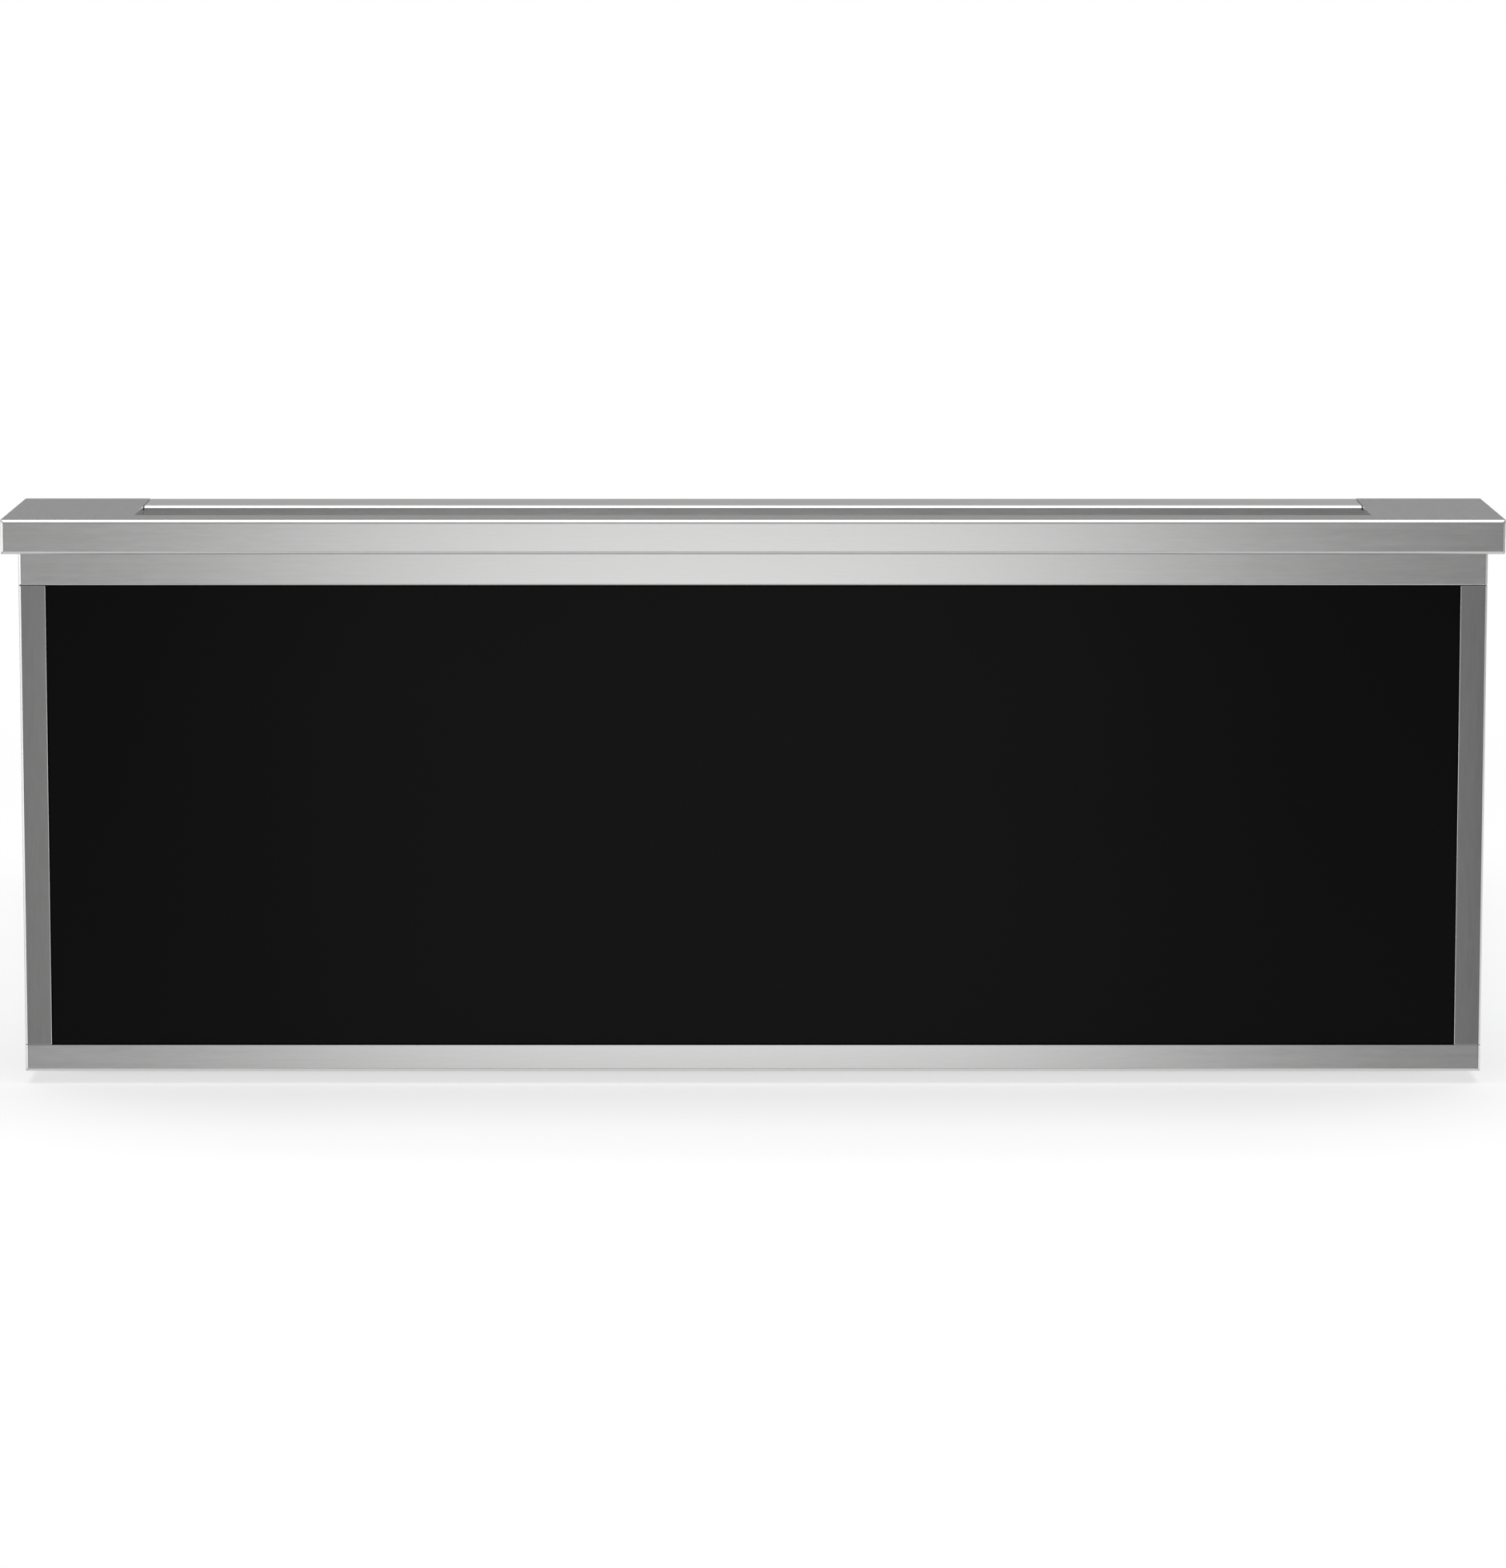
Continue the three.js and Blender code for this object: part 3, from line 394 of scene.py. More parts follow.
ease(handle_mesh, edge_chamfer, 1, lambda edge: near(middle(edge).y, handle_low.y))
ease(handle_mesh, edge_round, 2)
handle = piece("bar_handle_ground", handle_mesh, rail_steel, ["bar_handle"])
# The tops of the blocks, behind the bar's chamfer, are ground from front to back.
refinish(
    handle,
    block_steel,
    lambda face: abs(face.center.x) > slot_half - 1e-4
    and face.normal.z > 0.9
    and face.center.y > handle_low.y + 0.01,
)

# ---- Front frame -------------------------------------------------------------------------------
# Rails and stiles are formed from stainless sheet and ground along their length. The rails run the
# full width, and the stiles butt between them with a hairline joint.


def block(low, high):
    """A solid block between two opposite corners."""
    corners = [(low.x, low.z), (high.x, low.z), (high.x, high.z), (low.x, high.z)]
    return flat_solid(corners, "y", low.y, high.y)


def on_front(edge, low):
    return near(middle(edge).y, low.y)


def on_end(edge):
    """True on an edge at the left or right end of the whole front."""
    return near(abs(middle(edge).x), rail_high.x)


# The top rail's upward faces get a far lighter tone than the same steel on its front: painted light on
# the top face.
painted_light_rail_top_steel = brushed_steel("brushed_steel_rail_top_painted_light", "x", 0.95, 0.3)
# The stiles' front faces get a far darker tone than the same steel on their sides and on the rails:
# painted shade on the fronts.
painted_shade_stile_steel = brushed_steel("brushed_steel_stiles_painted_shade", "z", 0.36, 0.38)
stile_edge_steel = brushed_steel("brushed_steel_stile_edges", "z", 0.64, 0.32)
outer_corner = 0.0013
lower_corner = 0.0007
joint_corner = 0.0004
joint_fill = Vector((0, 0, 0.00025))

# The tails of the handle lie in a step at each end of the top rail.
step_z = rail_high.z - tail_thickness - weld_gap
top_rail_mesh = flat_solid(
    [
        (rail_low.x, rail_low.z),
        (rail_high.x, rail_low.z),
        (rail_high.x, step_z),
        (slot_half - weld_gap, step_z),
        (slot_half - weld_gap, rail_high.z),
        (weld_gap - slot_half, rail_high.z),
        (weld_gap - slot_half, step_z),
        (rail_low.x, step_z),
    ],
    "y",
    rail_low.y,
    rail_high.y,
)
ease(
    top_rail_mesh,
    edge_chamfer,
    1,
    lambda edge: on_front(edge, rail_low) and (on_end(edge) or near(middle(edge).z, rail_high.z)),
)
ease(
    top_rail_mesh,
    lower_corner,
    1,
    lambda edge: on_front(edge, rail_low) and near(middle(edge).z, rail_low.z),
)
ease(top_rail_mesh, joint_corner, 2)
top_rail = piece("front_top_rail_formed", top_rail_mesh, rail_steel, ["front_top_rail"])
# The lighter tone on the top face is painted light.
refinish(top_rail, painted_light_rail_top_steel, lambda face: face.normal.z > 0.95)

bottom_low, bottom_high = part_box("front_bottom_rail")
bottom_rail_mesh = block(bottom_low, bottom_high)
ease(
    bottom_rail_mesh,
    outer_corner,
    1,
    lambda edge: on_front(edge, bottom_low) and (on_end(edge) or near(middle(edge).z, bottom_low.z)),
)
ease(bottom_rail_mesh, joint_corner, 2)
piece("front_bottom_rail_formed", bottom_rail_mesh, rail_steel, ["front_bottom_rail"])

sides = (("left", -1), ("right", 1))
for side, outward in sides:
    node = f"front_stile_{side}"
    stile_low, stile_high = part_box(node)
    stile_mesh = block(stile_low - joint_fill, stile_high + joint_fill)
    ease(stile_mesh, outer_corner, 1, lambda edge: on_front(edge, stile_low) and on_end(edge))
    ease(stile_mesh, joint_corner, 2)
    stile = piece(f"{node}_formed", stile_mesh, stile_edge_steel, [node])
    # The darker tone on the stile's front face is painted shade.
    refinish(stile, painted_shade_stile_steel, lambda face: face.normal.y < -0.95)

# ---- Glass panel -------------------------------------------------------------------------------
# Tempered glass, painted black on its back, with ground edges. It sits a millimetre behind the face
# of the frame, whose eased edges show as a fine line round it.

glass_finish = Finish("black_glass", Specular_IOR_Level=0.045)
glass_finish.feed(
    Base_Color=glass_finish.mix(glass_finish.noise((4, 4, 4), 1.0), grey(0.0053), grey(0.0063)),
    Roughness=glass_finish.noise((14, 14, 22), 3.0) * 0.04 + 0.25,
)


def from_node(node):
    """A clean bmesh copy of a CAD node: merged, with its flat faces joined again."""
    bm = bmesh.new()
    bm.from_mesh(frame["nodes"][node].data)
    bmesh.ops.remove_doubles(bm, verts=bm.verts, dist=1e-6)
    bmesh.ops.dissolve_limit(bm, angle_limit=math.radians(1), verts=bm.verts, edges=bm.edges)
    return bm


def eased_copy(node, material, width=0.0003, segments=2):
    """A CAD node's own shape with its sharp edges eased."""
    bm = from_node(node)
    ease(bm, width, segments)
    return piece(f"{node}_finished", bm, material, [node])


eased_copy("front_glass", glass_finish.material, 0.0004)

# ---- Inside of the drawer front ----------------------------------------------------------------
# A satin steel panel closes the back of the front over its insulation. It has a pressed bead, and a
# row of screws along its top edge.


def satin_steel(name, low, high, roughness=0.26, tint=(1, 0.99, 0.97)):
    """Cold-rolled stainless sheet with a soft grain along x and faint wiping marks."""
    finish = Finish(name, Metallic=1.0)
    grain = finish.noise((14, 800, 800), 3.0, 0.6)
    speckle = finish.noise((1500, 1500, 1500), 1.0)
    smears = finish.noise((8, 11, 9), 4.0, 0.6)
    finish.feed(
        Base_Color=finish.mix(grain * 0.4 + smears * 0.6, grey(low, tint), grey(high, tint)),
        Roughness=smears * 0.16 + grain * 0.08 + (roughness - 0.06),
        Normal=finish.bump(grain + speckle, 0.00003, 0.3),
    )
    return finish.material


def zinc_steel(name, tone, roughness):
    """Bright zinc plate: a cool metal with faint rainbow clouds from its passivation."""
    finish = Finish(name, Metallic=1.0)
    clouds = finish.noise((30, 24, 30), 3.0)
    fine = finish.noise((900, 900, 900), 2.0)
    warm, cool = grey(tone * 0.94, (1.0, 0.98, 0.93)), grey(tone, (0.95, 0.98, 1.0))
    finish.feed(
        Base_Color=finish.mix(clouds, warm, cool),
        Roughness=fine * 0.1 + clouds * 0.08 + (roughness - 0.09),
        Normal=finish.bump(fine, 0.00002, 0.3),
    )
    return finish.material


def skin(bm, loops, ring=False):
    """Joins loops of points, one after another, into a closed skin with flat ends."""
    made = [[bm.verts.new(point) for point in loop] for loop in loops]
    count = len(made[0])
    for first, second in zip(made, made[1:] + made[:1] if ring else made[1:]):
        for index in range(count):
            after = (index + 1) % count
            bm.faces.new((first[index], first[after], second[after], second[index]))
    if not ring:
        bm.faces.new(made[0][::-1])
        bm.faces.new(made[-1])
    bmesh.ops.recalc_face_normals(bm, faces=bm.faces)


def around(centre, out, radius, sides, lobe=1.0):
    """Points of a circle that faces a direction. Every second point is pulled in by the lobe share."""
    out = Vector(out)
    side = out.orthogonal().normalized()
    up = out.cross(side)
    points = []
    for index in range(sides):
        turn = 2 * math.pi * index / sides
        reach = radius * (lobe if index % 2 else 1)
        points.append(Vector(centre) + (side * math.cos(turn) + up * math.sin(turn)) * reach)
    return points


def bend(corners, radius, steps):
    """A closed path of straight runs, with each corner turned at a radius."""
    corners = [Vector(corner) for corner in corners]
    path = []
    for index, corner in enumerate(corners):
        before = (corners[index - 1] - corner).normalized()
        after = (corners[(index + 1) % len(corners)] - corner).normalized()
        half = before.angle(after) / 2
        centre = corner + (before + after).normalized() * (radius / math.sin(half))
        start = corner + before * (radius / math.tan(half)) - centre
        end = corner + after * (radius / math.tan(half)) - centre
        turn = start.angle(end)
        axis = start.cross(end)
        for step in range(steps + 1):
            path.append(centre + Matrix.Rotation(turn * step / steps, 3, axis) @ start)
    return path


def tube(bm, path, radius, sides, closed=False):
    """A round wire along a path."""
    points = [Vector(point) for point in path]
    last = len(points) - 1
    loops = []
    side = None
    for index, point in enumerate(points):
        before = points[index - 1] if closed else points[max(index - 1, 0)]
        after = points[(index + 1) % len(points)] if closed else points[min(index + 1, last)]
        along = (after - before).normalized()
        side = side or along.orthogonal()
        side = (side - along * side.dot(along)).normalized()
        up = along.cross(side)
        turns = [2 * math.pi * step / sides for step in range(sides)]
        loops.append([point + (side * math.cos(turn) + up * math.sin(turn)) * radius for turn in turns])
    skin(bm, loops, ring=closed)


screw_zinc = zinc_steel("zinc_screws", 0.6, 0.28)
# Rings of a screw's head, from its rim in to the floor of its drive: the ring's radius and height as
# shares of the head's radius, and how far its lobes are pulled in.
head_rings = [
    (1, -0.1, 1),
    (1, 0.3, 1),
    (0.84, 0.5, 1),
    (0.5, 0.6, 1),
    (0.44, 0.6, 0.75),
    (0.4, 0.3, 0.75),
]


def screws(name, places, out, body, radius=0.0035):
    """Pan-head screws with a six-lobe drive, in one mesh. Out is the way that the heads look."""
    bm = bmesh.new()
    for place in places:
        loops = [
            around(Vector(place) + Vector(out) * radius * height, out, radius * reach, 12, lobe)
            for reach, height, lobe in head_rings
        ]
        skin(bm, loops)
    piece(name, bm, screw_zinc, [], body=body)


cavity_steel = satin_steel("satin_cavity_steel", 0.52, 0.68)

_, panel_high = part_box("front_inner_panel")
panel_mesh = from_node("front_inner_panel")
ease(panel_mesh, 0.0005, 3)
bead_x, bead_y = panel_high.x - 0.046, panel_high.y - 0.0014
bead_low, bead_high = 0.216, panel_high.z - 0.016
bead_corner, bead_radius = 0.014, 0.0022
bead_line = [
    (-bead_x, bead_y, bead_low),
    (bead_x, bead_y, bead_low),
    (bead_x, bead_y, bead_high),
    (-bead_x, bead_y, bead_high),
]
tube(panel_mesh, bend(bead_line, bead_corner, 8), bead_radius, 16, closed=True)
piece("front_inner_panel_pressed", panel_mesh, cavity_steel, ["front_inner_panel"])
five_across = (-0.9, -0.45, 0, 0.45, 0.9)
screws(
    "inner_panel_screws",
    [(panel_high.x * share, panel_high.y, panel_high.z - 0.0075) for share in five_across],
    (0, 1, 0),
    "drawer",
)

# ---- Mineral wool ------------------------------------------------------------------------------
# Pale, slightly yellow fibre batts: one fills the drawer front, one wraps the heated cavity, and a
# thin pad lies under it. Their fibres lie flat, in thin layers.

wool = Finish("mineral_wool", Roughness=1.0, Specular_IOR_Level=0.1)
fibres = wool.noise((260, 1300, 1300), 5.0, 0.75)
tufts = wool.noise((60, 60, 90), 3.0, 0.6)
shaded_wool, lit_wool = grey(0.34, (1, 0.9, 0.66)), grey(0.78, (1, 0.95, 0.8))
wool.feed(
    Base_Color=wool.mix(fibres * 0.6 + tufts * 0.4, shaded_wool, lit_wool),
    Normal=wool.bump(fibres + tufts, 0.0012, 0.8),
)
for node in ("front_insulation", "insulation_blanket", "insulation_base"):
    eased_copy(node, wool.material, 0.0008)

# ---- Gasket ------------------------------------------------------------------------------------
# Extruded silicone bulb seal, dark grey, bonded at its corners. It presses on the front frame round
# the drawer's mouth, and its hollow bulb bulges evenly to both sides.

silicone = Finish("silicone_rubber", Specular_IOR_Level=0.35)
silicone_dust = silicone.noise((70, 70, 70), 4.0, 0.65)
silicone_grain = silicone.noise((2200, 2200, 2200), 1.0)
silicone.feed(
    Base_Color=silicone.mix(silicone_dust, grey(0.028), grey(0.05, (1, 0.99, 0.96))),
    Roughness=silicone_dust * 0.2 + 0.52,
    Normal=silicone.bump(silicone_grain, 0.00004, 0.4),
)

gasket_low, gasket_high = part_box("front_gasket")
half_width = 0.004
gasket_corner = 0.009
gasket_corners = [
    (gasket_low.x + half_width, 0, gasket_low.z + half_width),
    (gasket_high.x - half_width, 0, gasket_low.z + half_width),
    (gasket_high.x - half_width, 0, gasket_high.z - half_width),
    (gasket_low.x + half_width, 0, gasket_high.z - half_width),
]
gasket_line = bend(gasket_corners, gasket_corner, 8)
# Reach to one side and depth of the bulb's outline, from its flat foot on the panel to its crown.
bulb = [(-0.0034, 0.0), (-0.0038, 0.0022), (-0.0039, 0.0042), (-0.0034, 0.0058), (-0.0022, 0.0069)]
bulb += [(0.0, 0.0073)] + [(-reach, depth) for reach, depth in reversed(bulb)]
gasket_mesh = bmesh.new()
gasket_loops = []
for index, point in enumerate(gasket_line):
    ahead = gasket_line[(index + 1) % len(gasket_line)] - gasket_line[index - 1]
    aside = ahead.normalized().cross(Vector((0, 1, 0)))
    gasket_loops.append(
        [point + aside * reach + Vector((0, gasket_low.y + depth, 0)) for reach, depth in bulb]
    )
skin(gasket_mesh, gasket_loops, ring=True)
piece("front_gasket_bulb", gasket_mesh, silicone.material, ["front_gasket"], smooth=50)

# ---- Drawer tub --------------------------------------------------------------------------------
# Deep-drawn satin steel tub with a radius along the floor and a rim turned outwards. Screws through
# its front wall hold it to the drawer front.

tub_low, tub_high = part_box("drawer_tub")
tub_wall = 0.0012
tub_mesh = from_node("drawer_tub")
floor_radius = 0.005
ease(tub_mesh, floor_radius, 5, lambda edge: near(middle(edge).z, tub_low.z))
ease(tub_mesh, floor_radius - tub_wall, 5, lambda edge: near(middle(edge).z, tub_low.z + tub_wall))
ease(tub_mesh, 0.0004, 2, lambda edge: near(middle(edge).z, tub_high.z))
piece("drawer_tub_drawn", tub_mesh, cavity_steel, ["drawer_tub"])
screws(
    "tub_screws",
    [(x, tub_low.y + tub_wall, z) for x in (-0.27, -0.14, 0.14, 0.27) for z in (0.06, 0.14)],
    (0, 1, 0),
    "drawer",
)

# ---- Moisture vent -----------------------------------------------------------------------------
# A slotted slider in two folded guides, inside the tub's front wall. Closed, its webs cover the
# slots. Its grip is folded up from the same sheet.

vent_steel = satin_steel("satin_vent_steel", 0.56, 0.72, 0.3)
for node in ("vent_slider", "vent_guide_upper", "vent_guide_lower"):
    eased_copy(node, vent_steel, 0.00025)

# ---- Wire rack ---------------------------------------------------------------------------------
# Bright chrome-plated wire, half as deep as the tub. Two closed side loops are the runners and the
# legs. Two cross wires join them, and thinner shelf wires are welded on top.

chrome = Finish("chrome_wire", Metallic=1.0)
chrome_haze = chrome.noise((45, 45, 45), 3.0)
chrome.feed(
    Base_Color=chrome.mix(chrome_haze, grey(0.7, (0.98, 0.99, 1)), grey(0.8)),
    Roughness=chrome_haze * 0.08 + 0.06,
)

rack_low, rack_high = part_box("wire_rack")
frame_wire, shelf_wire = 0.003, 0.0018
loop_corner = 0.009
rack_x = rack_high.x - frame_wire
rack_front, rack_back = rack_low.y + frame_wire, rack_high.y - frame_wire
rack_floor, rack_top = rack_low.z + frame_wire, rack_high.z - frame_wire
shelf_wires = 12
rack_mesh = bmesh.new()
for x in (-rack_x, rack_x):
    loop = [
        (x, rack_front, rack_floor),
        (x, rack_back, rack_floor),
        (x, rack_back, rack_top),
        (x, rack_front, rack_top),
    ]
    tube(rack_mesh, bend(loop, loop_corner, 6), frame_wire, 14, closed=True)
for y in (rack_front + loop_corner, rack_back - loop_corner):
    tube(rack_mesh, [(-rack_x, y, rack_top), (rack_x, y, rack_top)], frame_wire, 14)
shelf_z = rack_top + 0.001
shelf_front, shelf_back = rack_front + 0.004, rack_back - 0.004
for index in range(shelf_wires):
    x = (index - (shelf_wires - 1) / 2) * 2 * rack_x / (shelf_wires + 1)
    tube(rack_mesh, [(x, shelf_front, shelf_z), (x, shelf_back, shelf_z)], shelf_wire, 10)
piece("wire_rack_bent", rack_mesh, chrome.material, ["wire_rack"])

# ---- Slides ------------------------------------------------------------------------------------
# Three roll-formed zinc-plated members on each side, with polished balls in pressed cages between
# them. The outer member is fixed to the cavity's wall, and screws hold the inner one to the tub.

slide_zinc = zinc_steel("zinc_slides", 0.56, 0.32)
cage_zinc = zinc_steel("zinc_ball_cages", 0.48, 0.4)
ball_steel = zinc_steel("polished_balls", 0.72, 0.12)
slide_low, slide_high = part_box("slide_outer_right")
slide_middle_z = (slide_low.z + slide_high.z) / 2
ball_radius = 0.00155
balls_in_row = 11
row_margin = 0.01
lip_depth, lip_height = 0.0022, 0.0004
web_thickness = 0.0013

for side, outward in sides:
    for member in ("outer", "middle", "inner"):
        eased_copy(f"slide_{member}_{side}", slide_zinc)
    for cage in ("outer", "inner"):
        node = f"ball_cage_{cage}_{side}"
        eased_copy(node, cage_zinc, 0.0002, 1)
        cage_low, cage_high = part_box(node)
        # The balls stand through the cage's lips, near their ends that reach towards the tub.
        ball_x = outward * (min(abs(cage_low.x), abs(cage_high.x)) + lip_depth)
        half_height = (cage_high.z - cage_low.z) / 2 - lip_height
        pitch = (cage_high.y - cage_low.y - 2 * row_margin) / (balls_in_row - 1)
        balls = bmesh.new()
        for z in (slide_middle_z - half_height, slide_middle_z + half_height):
            for index in range(balls_in_row):
                at = Matrix.Translation((ball_x, cage_low.y + row_margin + index * pitch, z))
                bmesh.ops.create_icosphere(balls, subdivisions=2, radius=ball_radius, matrix=at)
        piece(f"balls_{cage}_{side}", balls, ball_steel, [], body=node, smooth=80)
    inner_low, inner_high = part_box(f"slide_inner_{side}")
    web_x = outward * (min(abs(inner_low.x), abs(inner_high.x)) + web_thickness)
    screws(
        f"inner_slide_screws_{side}",
        [(web_x, slide_low.y + y, slide_middle_z) for y in (0.03, 0.16, 0.3, 0.43)],
        (outward, 0, 0),
        "drawer",
    )

# ---- Release levers ----------------------------------------------------------------------------
# Moulded black levers inside the inner members, each on a riveted pin. They let the drawer lift off
# its slides. The thumb end is the rounder one.

plastic = Finish("black_plastic", Specular_IOR_Level=0.45)
plastic_texture = plastic.noise((1800, 1800, 1800), 2.0)
plastic_wear = plastic.noise((60, 60, 60), 3.0)
plastic.feed(
    Base_Color=plastic.mix(plastic_wear, grey(0.012), grey(0.022)),
    Roughness=plastic_wear * 0.12 + 0.38,
    Normal=plastic.bump(plastic_texture, 0.00005, 0.5),
)
# Radius of the pin's riveted head and how far it stands out of the lever, ring by ring.
pin_rings = [(0.0026, 0.00005), (0.0026, 0.0005), (0.0018, 0.001)]
for side, outward in sides:
    eased_copy(f"release_lever_{side}", plastic.material, 0.0005, 3)
    lever_low, lever_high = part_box(f"release_lever_{side}")
    face_x = outward * max(abs(lever_low.x), abs(lever_high.x))
    pin_centre = Vector((face_x, (lever_low.y + lever_high.y) / 2, slide_middle_z))
    out = Vector((outward, 0, 0))
    pin = bmesh.new()
    skin(pin, [around(pin_centre + out * stand, out, radius, 20) for radius, stand in pin_rings])
    piece(f"lever_pin_{side}", pin, screw_zinc, [], body="drawer")

# ---- Chassis -----------------------------------------------------------------------------------
# Galvanised sheet with a visible spangle: a floor pan with upturned edges, two sides, a top and a
# back, screwed together. Pressed ribs stiffen the sides and the top.


def galvanised_steel(name, low, high):
    """Zinc-dipped sheet: crystals a few millimetres wide, frosted, with faint stains."""
    finish = Finish(name, Metallic=1.0)
    crystals = finish.node(
        "ShaderNodeTexVoronoi",
        {"feature": "F1"},
        {"Vector": finish.place((210, 210, 210)), "Scale": 1.0},
        "Color",
    )
    shade = finish.node("ShaderNodeSeparateColor", {}, {"Color": crystals}, "Red")
    frost = finish.noise((260, 260, 260), 3.0, 0.6)
    stains = finish.noise((7, 7, 7), 4.0, 0.6)
    amount = shade * 0.4 + frost * 0.3 + stains * 0.3
    finish.feed(
        Base_Color=finish.mix(amount, grey(low, (0.95, 0.98, 1)), grey(high, (0.98, 0.99, 1))),
        Roughness=shade * 0.14 + stains * 0.16 + 0.3,
        Normal=finish.bump(frost, 0.00005, 0.3),
    )
    return finish.material


def rib(bm, centre, out, half_length, half_width):
    """A rib pressed out of a sheet: a low plateau with round ends, from front to back."""
    out, along = Vector(out), Vector((0, 1, 0))
    aside = out.cross(along)
    loops = []
    for inset, up in ((0, -0.0004), (0, 0.0001), (0.0006, rib_height * 0.6), (0.0016, rib_height)):
        radius = half_width - inset
        points = []
        for end in (1, -1):
            for step in range(9):
                turn = math.pi * (step / 8 - 0.5)
                lengthwise = along * (end * (half_length - half_width + radius * math.cos(turn)))
                sideways = aside * (end * radius * math.sin(turn))
                points.append(Vector(centre) + out * up + lengthwise + sideways)
        loops.append(points)
    skin(bm, loops)


chassis_steel = galvanised_steel("galvanised_steel", 0.5, 0.66)
base_low, base_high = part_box("chassis_base")
_, top_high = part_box("chassis_top")
_, rear_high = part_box("chassis_rear")
rib_height = 0.0015
eased_copy("chassis_base", chassis_steel, 0.0004)
eased_copy("chassis_rear", chassis_steel)
screw_rows = [base_low.y + 0.05 + index * 0.115 for index in range(5)]

for side, outward in sides:
    node = f"chassis_side_{side}"
    side_low, side_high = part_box(node)
    wall_x = outward * max(abs(side_low.x), abs(side_high.x))
    side_mesh = from_node(node)
    ease(side_mesh, 0.0003, 2)
    for z in (0.075, 0.145):
        centre = (wall_x, (side_low.y + side_high.y) / 2 + 0.02, z)
        rib(side_mesh, centre, (outward, 0, 0), half_length=0.2, half_width=0.011)
    piece(f"{node}_pressed", side_mesh, chassis_steel, [node])
    screws(
        f"base_screws_{side}",
        [(outward * base_high.x, y, base_high.z - 0.0055) for y in screw_rows],
        (outward, 0, 0),
        "chassis",
    )
    screws(
        f"side_screws_{side}",
        [(wall_x, y, side_high.z - 0.008) for y in screw_rows],
        (outward, 0, 0),
        "chassis",
    )

top_mesh = from_node("chassis_top")
ease(top_mesh, 0.0003, 2)
for x in (-0.2, 0, 0.2):
    rib(top_mesh, (x, 0.11, top_high.z), (0, 0, 1), half_length=0.15, half_width=0.012)
piece("chassis_top_pressed", top_mesh, chassis_steel, ["chassis_top"])
screws(
    "top_screws",
    [(outward * (top_high.x - 0.008), y, top_high.z) for _, outward in sides for y in screw_rows[1:]],
    (0, 0, 1),
    "chassis",
)
screws(
    "rear_screws",
    [(x, rear_high.y, z) for x in (-0.345, -0.17, 0.17, 0.345) for z in (0.0095, 0.206)],
    (0, 1, 0),
    "chassis",
)

# ---- Front frame and mounting flanges ----------------------------------------------------------
# The frame is brushed stainless, as it shows when the drawer is open, and the gasket seals on it.
# The flanges are galvanised angles with holes for the cabinet screws.

frame_low, frame_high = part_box("front_frame")
eased_copy("front_frame", rail_steel)
for side, outward in sides:
    eased_copy(f"mounting_flange_{side}", chassis_steel)
    screws(
        f"frame_screws_{side}",
        [(outward * (frame_high.x - 0.013), frame_low.y, z) for z in (0.045, 0.105, 0.165)],
        (0, -1, 0),
        "chassis",
        radius=0.003,
    )

# ---- Heated cavity -----------------------------------------------------------------------------
# The liner round the tub is folded from satin steel sheet, in five pieces. Its floor has the straw
# tint of heat over the element.

liner_steel = satin_steel("satin_liner_steel", 0.46, 0.6, 0.3)
heated_steel = satin_steel("heat_tinted_steel", 0.42, 0.58, 0.34, (1.0, 0.9, 0.72))
for node in ("liner_side_left", "liner_side_right", "liner_top", "liner_rear"):
    eased_copy(node, liner_steel, 0.0002, 1)
eased_copy("liner_floor", heated_steel, 0.0002, 1)

# ---- Heating element ---------------------------------------------------------------------------
# A sheathed element bent from one tube in a flat run of hairpins, with a dark oxide skin mottled by
# heat. A slotted deflector sheet over it spreads the heat.

sheath = Finish("element_sheath", Metallic=0.7)
sheath_marks = sheath.noise((120, 120, 120), 4.0, 0.7)
sheath.feed(
    Base_Color=sheath.mix(sheath_marks, grey(0.06, (1, 0.95, 0.88)), grey(0.2, (1, 0.88, 0.74))),
    Roughness=sheath_marks * 0.2 + 0.42,
    Normal=sheath.bump(sheath_marks, 0.00005, 0.4),
)


def smooth_copy(node, material, smooth=50):
    """A CAD node's own shape, shaded smooth between edges sharper than an angle."""
    bm = bmesh.new()
    bm.from_mesh(frame["nodes"][node].data)
    bmesh.ops.remove_doubles(bm, verts=bm.verts, dist=1e-6)
    return piece(f"{node}_finished", bm, material, [node], smooth=smooth)


smooth_copy("heating_element", sheath.material, 60)
smooth_copy("heat_deflector", heated_steel, 30)

# ---- Temperature sensor and limit thermostat ---------------------------------------------------
# A bright probe in the cavity's back wall, above the rim of the tub, and a black disc thermostat on
# the cold side of the same wall.

smooth_copy("temperature_sensor", chrome.material)
smooth_copy("limit_thermostat", plastic.material)

# ---- Fan ---------------------------------------------------------------------------------------
# A pressed impeller on a thin shaft, behind a dished cover with slots. Its motor can is behind the
# wall, painted grey with a fine texture.

motor_paint = Finish("motor_grey", Metallic=0.3)
paint_texture = motor_paint.noise((900, 900, 900), 3.0)
cool = (0.95, 0.98, 1)
motor_paint.feed(
    Base_Color=motor_paint.mix(paint_texture, grey(0.1, cool), grey(0.15, cool)),
    Roughness=paint_texture * 0.2 + 0.4,
    Normal=motor_paint.bump(paint_texture, 0.0001, 0.4),
)
smooth_copy("fan_motor", motor_paint.material)
smooth_copy("fan_impeller", vent_steel, 35)
eased_copy("fan_cover", cavity_steel, 0.0004, 3)

# ---- Control housing ---------------------------------------------------------------------------
# A folded galvanised cover over the electronics, above the drawer's mouth. Screws along its back
# edge hold it to the chassis.

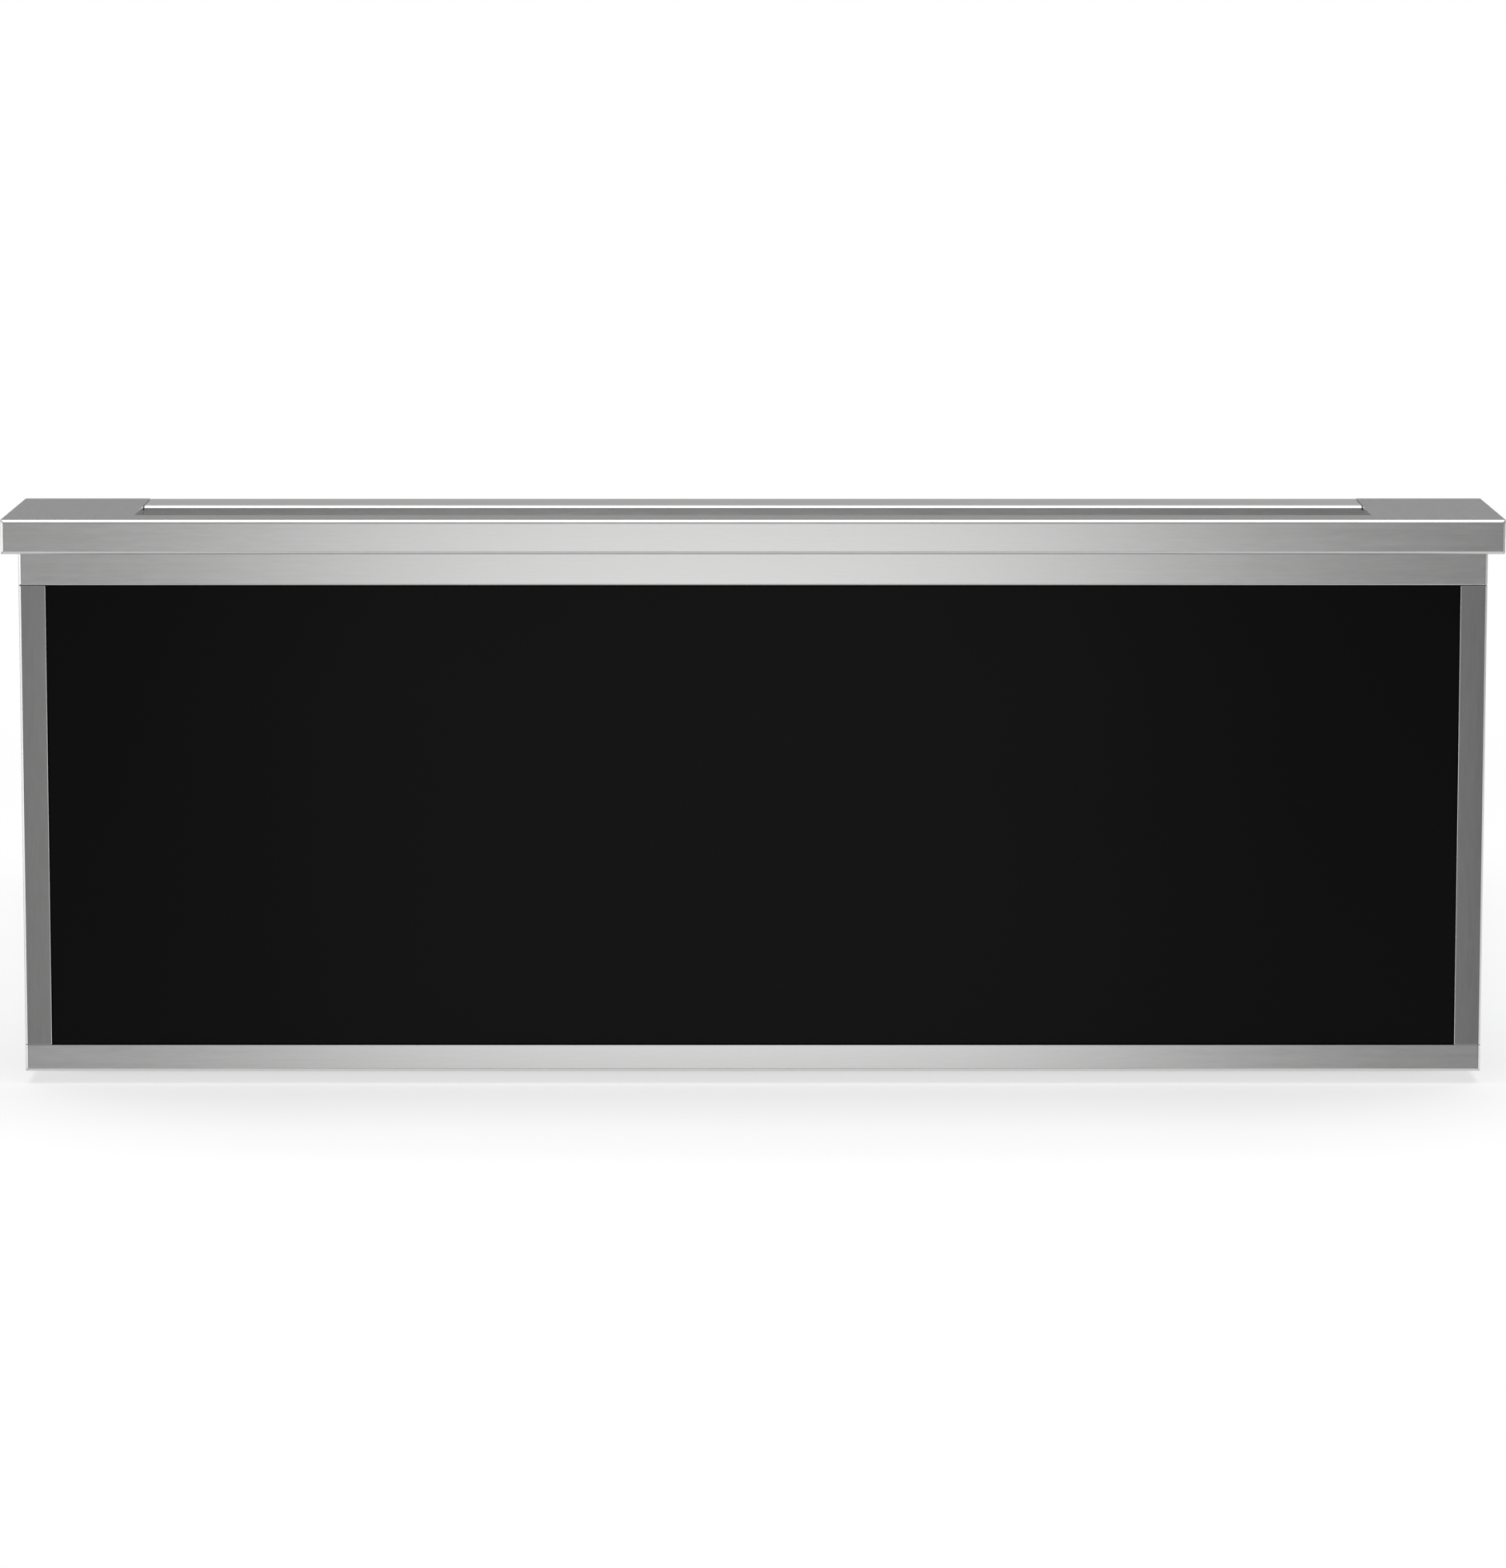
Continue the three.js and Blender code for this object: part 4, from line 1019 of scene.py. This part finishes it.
eased_copy("control_housing", chassis_steel, 0.0005, 2)
housing_low, housing_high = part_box("control_housing")
screws(
    "housing_screws",
    [(housing_high.x * share, housing_high.y, housing_low.z + 0.012) for share in five_across],
    (0, 1, 0),
    "chassis",
)

# ---- Fascia, display and buttons ---------------------------------------------------------------
# A strip of black glass above the drawer's mouth, with a smoked display window and five soft-touch
# buttons. The level keys have one, two and three bars, and the others a ring with a stroke.

fascia = Finish("fascia_glass", Specular_IOR_Level=0.5)
finger_marks = fascia.noise((22, 22, 30), 5.0, 0.7)
fascia.feed(
    Base_Color=fascia.mix(finger_marks, grey(0.004), grey(0.007)),
    Roughness=finger_marks * 0.1 + 0.03,
)
eased_copy("control_fascia", fascia.material, 0.0005, 3)

lens = Finish("display_lens", Specular_IOR_Level=0.5)
lens_haze = lens.noise((60, 60, 60), 3.0)
lens.feed(
    Base_Color=lens.mix(lens_haze, (0.006, 0.007, 0.01, 1), (0.012, 0.013, 0.018, 1)),
    Roughness=lens_haze * 0.06 + 0.05,
)
eased_copy("display_lens", lens.material)

soft_touch = Finish("button_plastic", Specular_IOR_Level=0.4)
touch_grain = soft_touch.noise((2400, 2400, 2400), 1.0)
touch_wear = soft_touch.noise((120, 120, 120), 3.0)
soft_touch.feed(
    Base_Color=soft_touch.mix(touch_wear, grey(0.045), grey(0.065)),
    Roughness=touch_wear * 0.14 + 0.45,
    Normal=soft_touch.bump(touch_grain, 0.00004, 0.4),
)
print_ink = Finish("button_print", Specular_IOR_Level=0.3)
print_ink.feed(
    Base_Color=print_ink.mix(print_ink.noise((900, 900, 900)), grey(0.55), grey(0.68)),
    Roughness=print_ink.noise((400, 400, 400)) * 0.1 + 0.5,
)
levels = {"low": 1, "medium": 2, "high": 3}
bar_half, bar_pitch, ring_radius, line_radius = 0.003, 0.002, 0.0024, 0.0003
for key in ("power", "low", "medium", "high", "timer"):
    node = f"button_{key}"
    eased_copy(node, soft_touch.material)
    key_low, key_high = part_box(node)
    centre = Vector(((key_low.x + key_high.x) / 2, key_low.y, (key_low.z + key_high.z) / 2))
    mark = bmesh.new()
    if key in levels:
        for level in range(levels[key]):
            z = centre.z + (level - (levels[key] - 1) / 2) * bar_pitch
            ends = [(centre.x - bar_half, centre.y, z), (centre.x + bar_half, centre.y, z)]
            tube(mark, ends, line_radius, 8)
    else:
        tube(mark, around(centre, (0, 1, 0), ring_radius, 24), line_radius, 8, closed=True)
        stroke = 0.0034 if key == "power" else 0.0016
        tube(mark, [centre, centre + Vector((0, 0, stroke))], line_radius, 8)
    piece(f"{node}_mark", mark, print_ink.material, [], body=node)

# ---- Circuit boards ----------------------------------------------------------------------------
# Green glass-fibre boards with copper traces under the mask. The power board has a transformer, two
# relays and a terminal block.

board = Finish("circuit_board", Specular_IOR_Level=0.5)
trace_cells = board.node(
    "ShaderNodeTexVoronoi",
    {"feature": "DISTANCE_TO_EDGE"},
    {"Vector": board.place((150, 150, 150)), "Scale": 1.0, "Randomness": 0.8},
    "Distance",
)
traces = board.node("ShaderNodeMath", {"operation": "LESS_THAN"}, {0: trace_cells, 1: 0.07})
board.feed(
    Base_Color=board.mix(traces, (0.01, 0.075, 0.03, 1), (0.03, 0.17, 0.06, 1)),
    Roughness=board.noise((90, 90, 90), 3.0) * 0.15 + 0.3,
)
eased_copy("control_board", board.material)

laminate = Finish("transformer_laminate", Metallic=0.6)
layers = laminate.noise((20, 20, 2600), 2.0)
laminate.feed(
    Base_Color=laminate.mix(layers, grey(0.08, (1, 0.97, 0.92)), grey(0.2, (1, 0.97, 0.92))),
    Roughness=layers * 0.2 + 0.4,
)
relay_blue = Finish("relay_blue", Specular_IOR_Level=0.5)
relay_haze = relay_blue.noise((200, 200, 200), 2.0)
relay_blue.feed(
    Base_Color=relay_blue.mix(relay_haze, (0.02, 0.09, 0.3, 1), (0.03, 0.12, 0.36, 1)),
    Roughness=relay_haze * 0.1 + 0.3,
)
power_board = eased_copy("power_board", board.material)
board_low, board_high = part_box("power_board")
parts_above = board_low.z + 0.002
for material, start, end in (
    (laminate.material, board_low.x, board_low.x + 0.06),
    (relay_blue.material, board_low.x + 0.06, board_low.x + 0.12),
    (plastic.material, board_low.x + 0.12, board_high.x),
):
    refinish(
        power_board,
        material,
        lambda face: face.center.z > parts_above and start <= face.center.x < end,
    )

# ---- Cord bushing ------------------------------------------------------------------------------
# A snap-in bushing of black plastic in the back sheet. The supply cord enters through it, and its
# collar keeps the cord off the edge of the steel.

smooth_copy("cord_bushing", plastic.material)
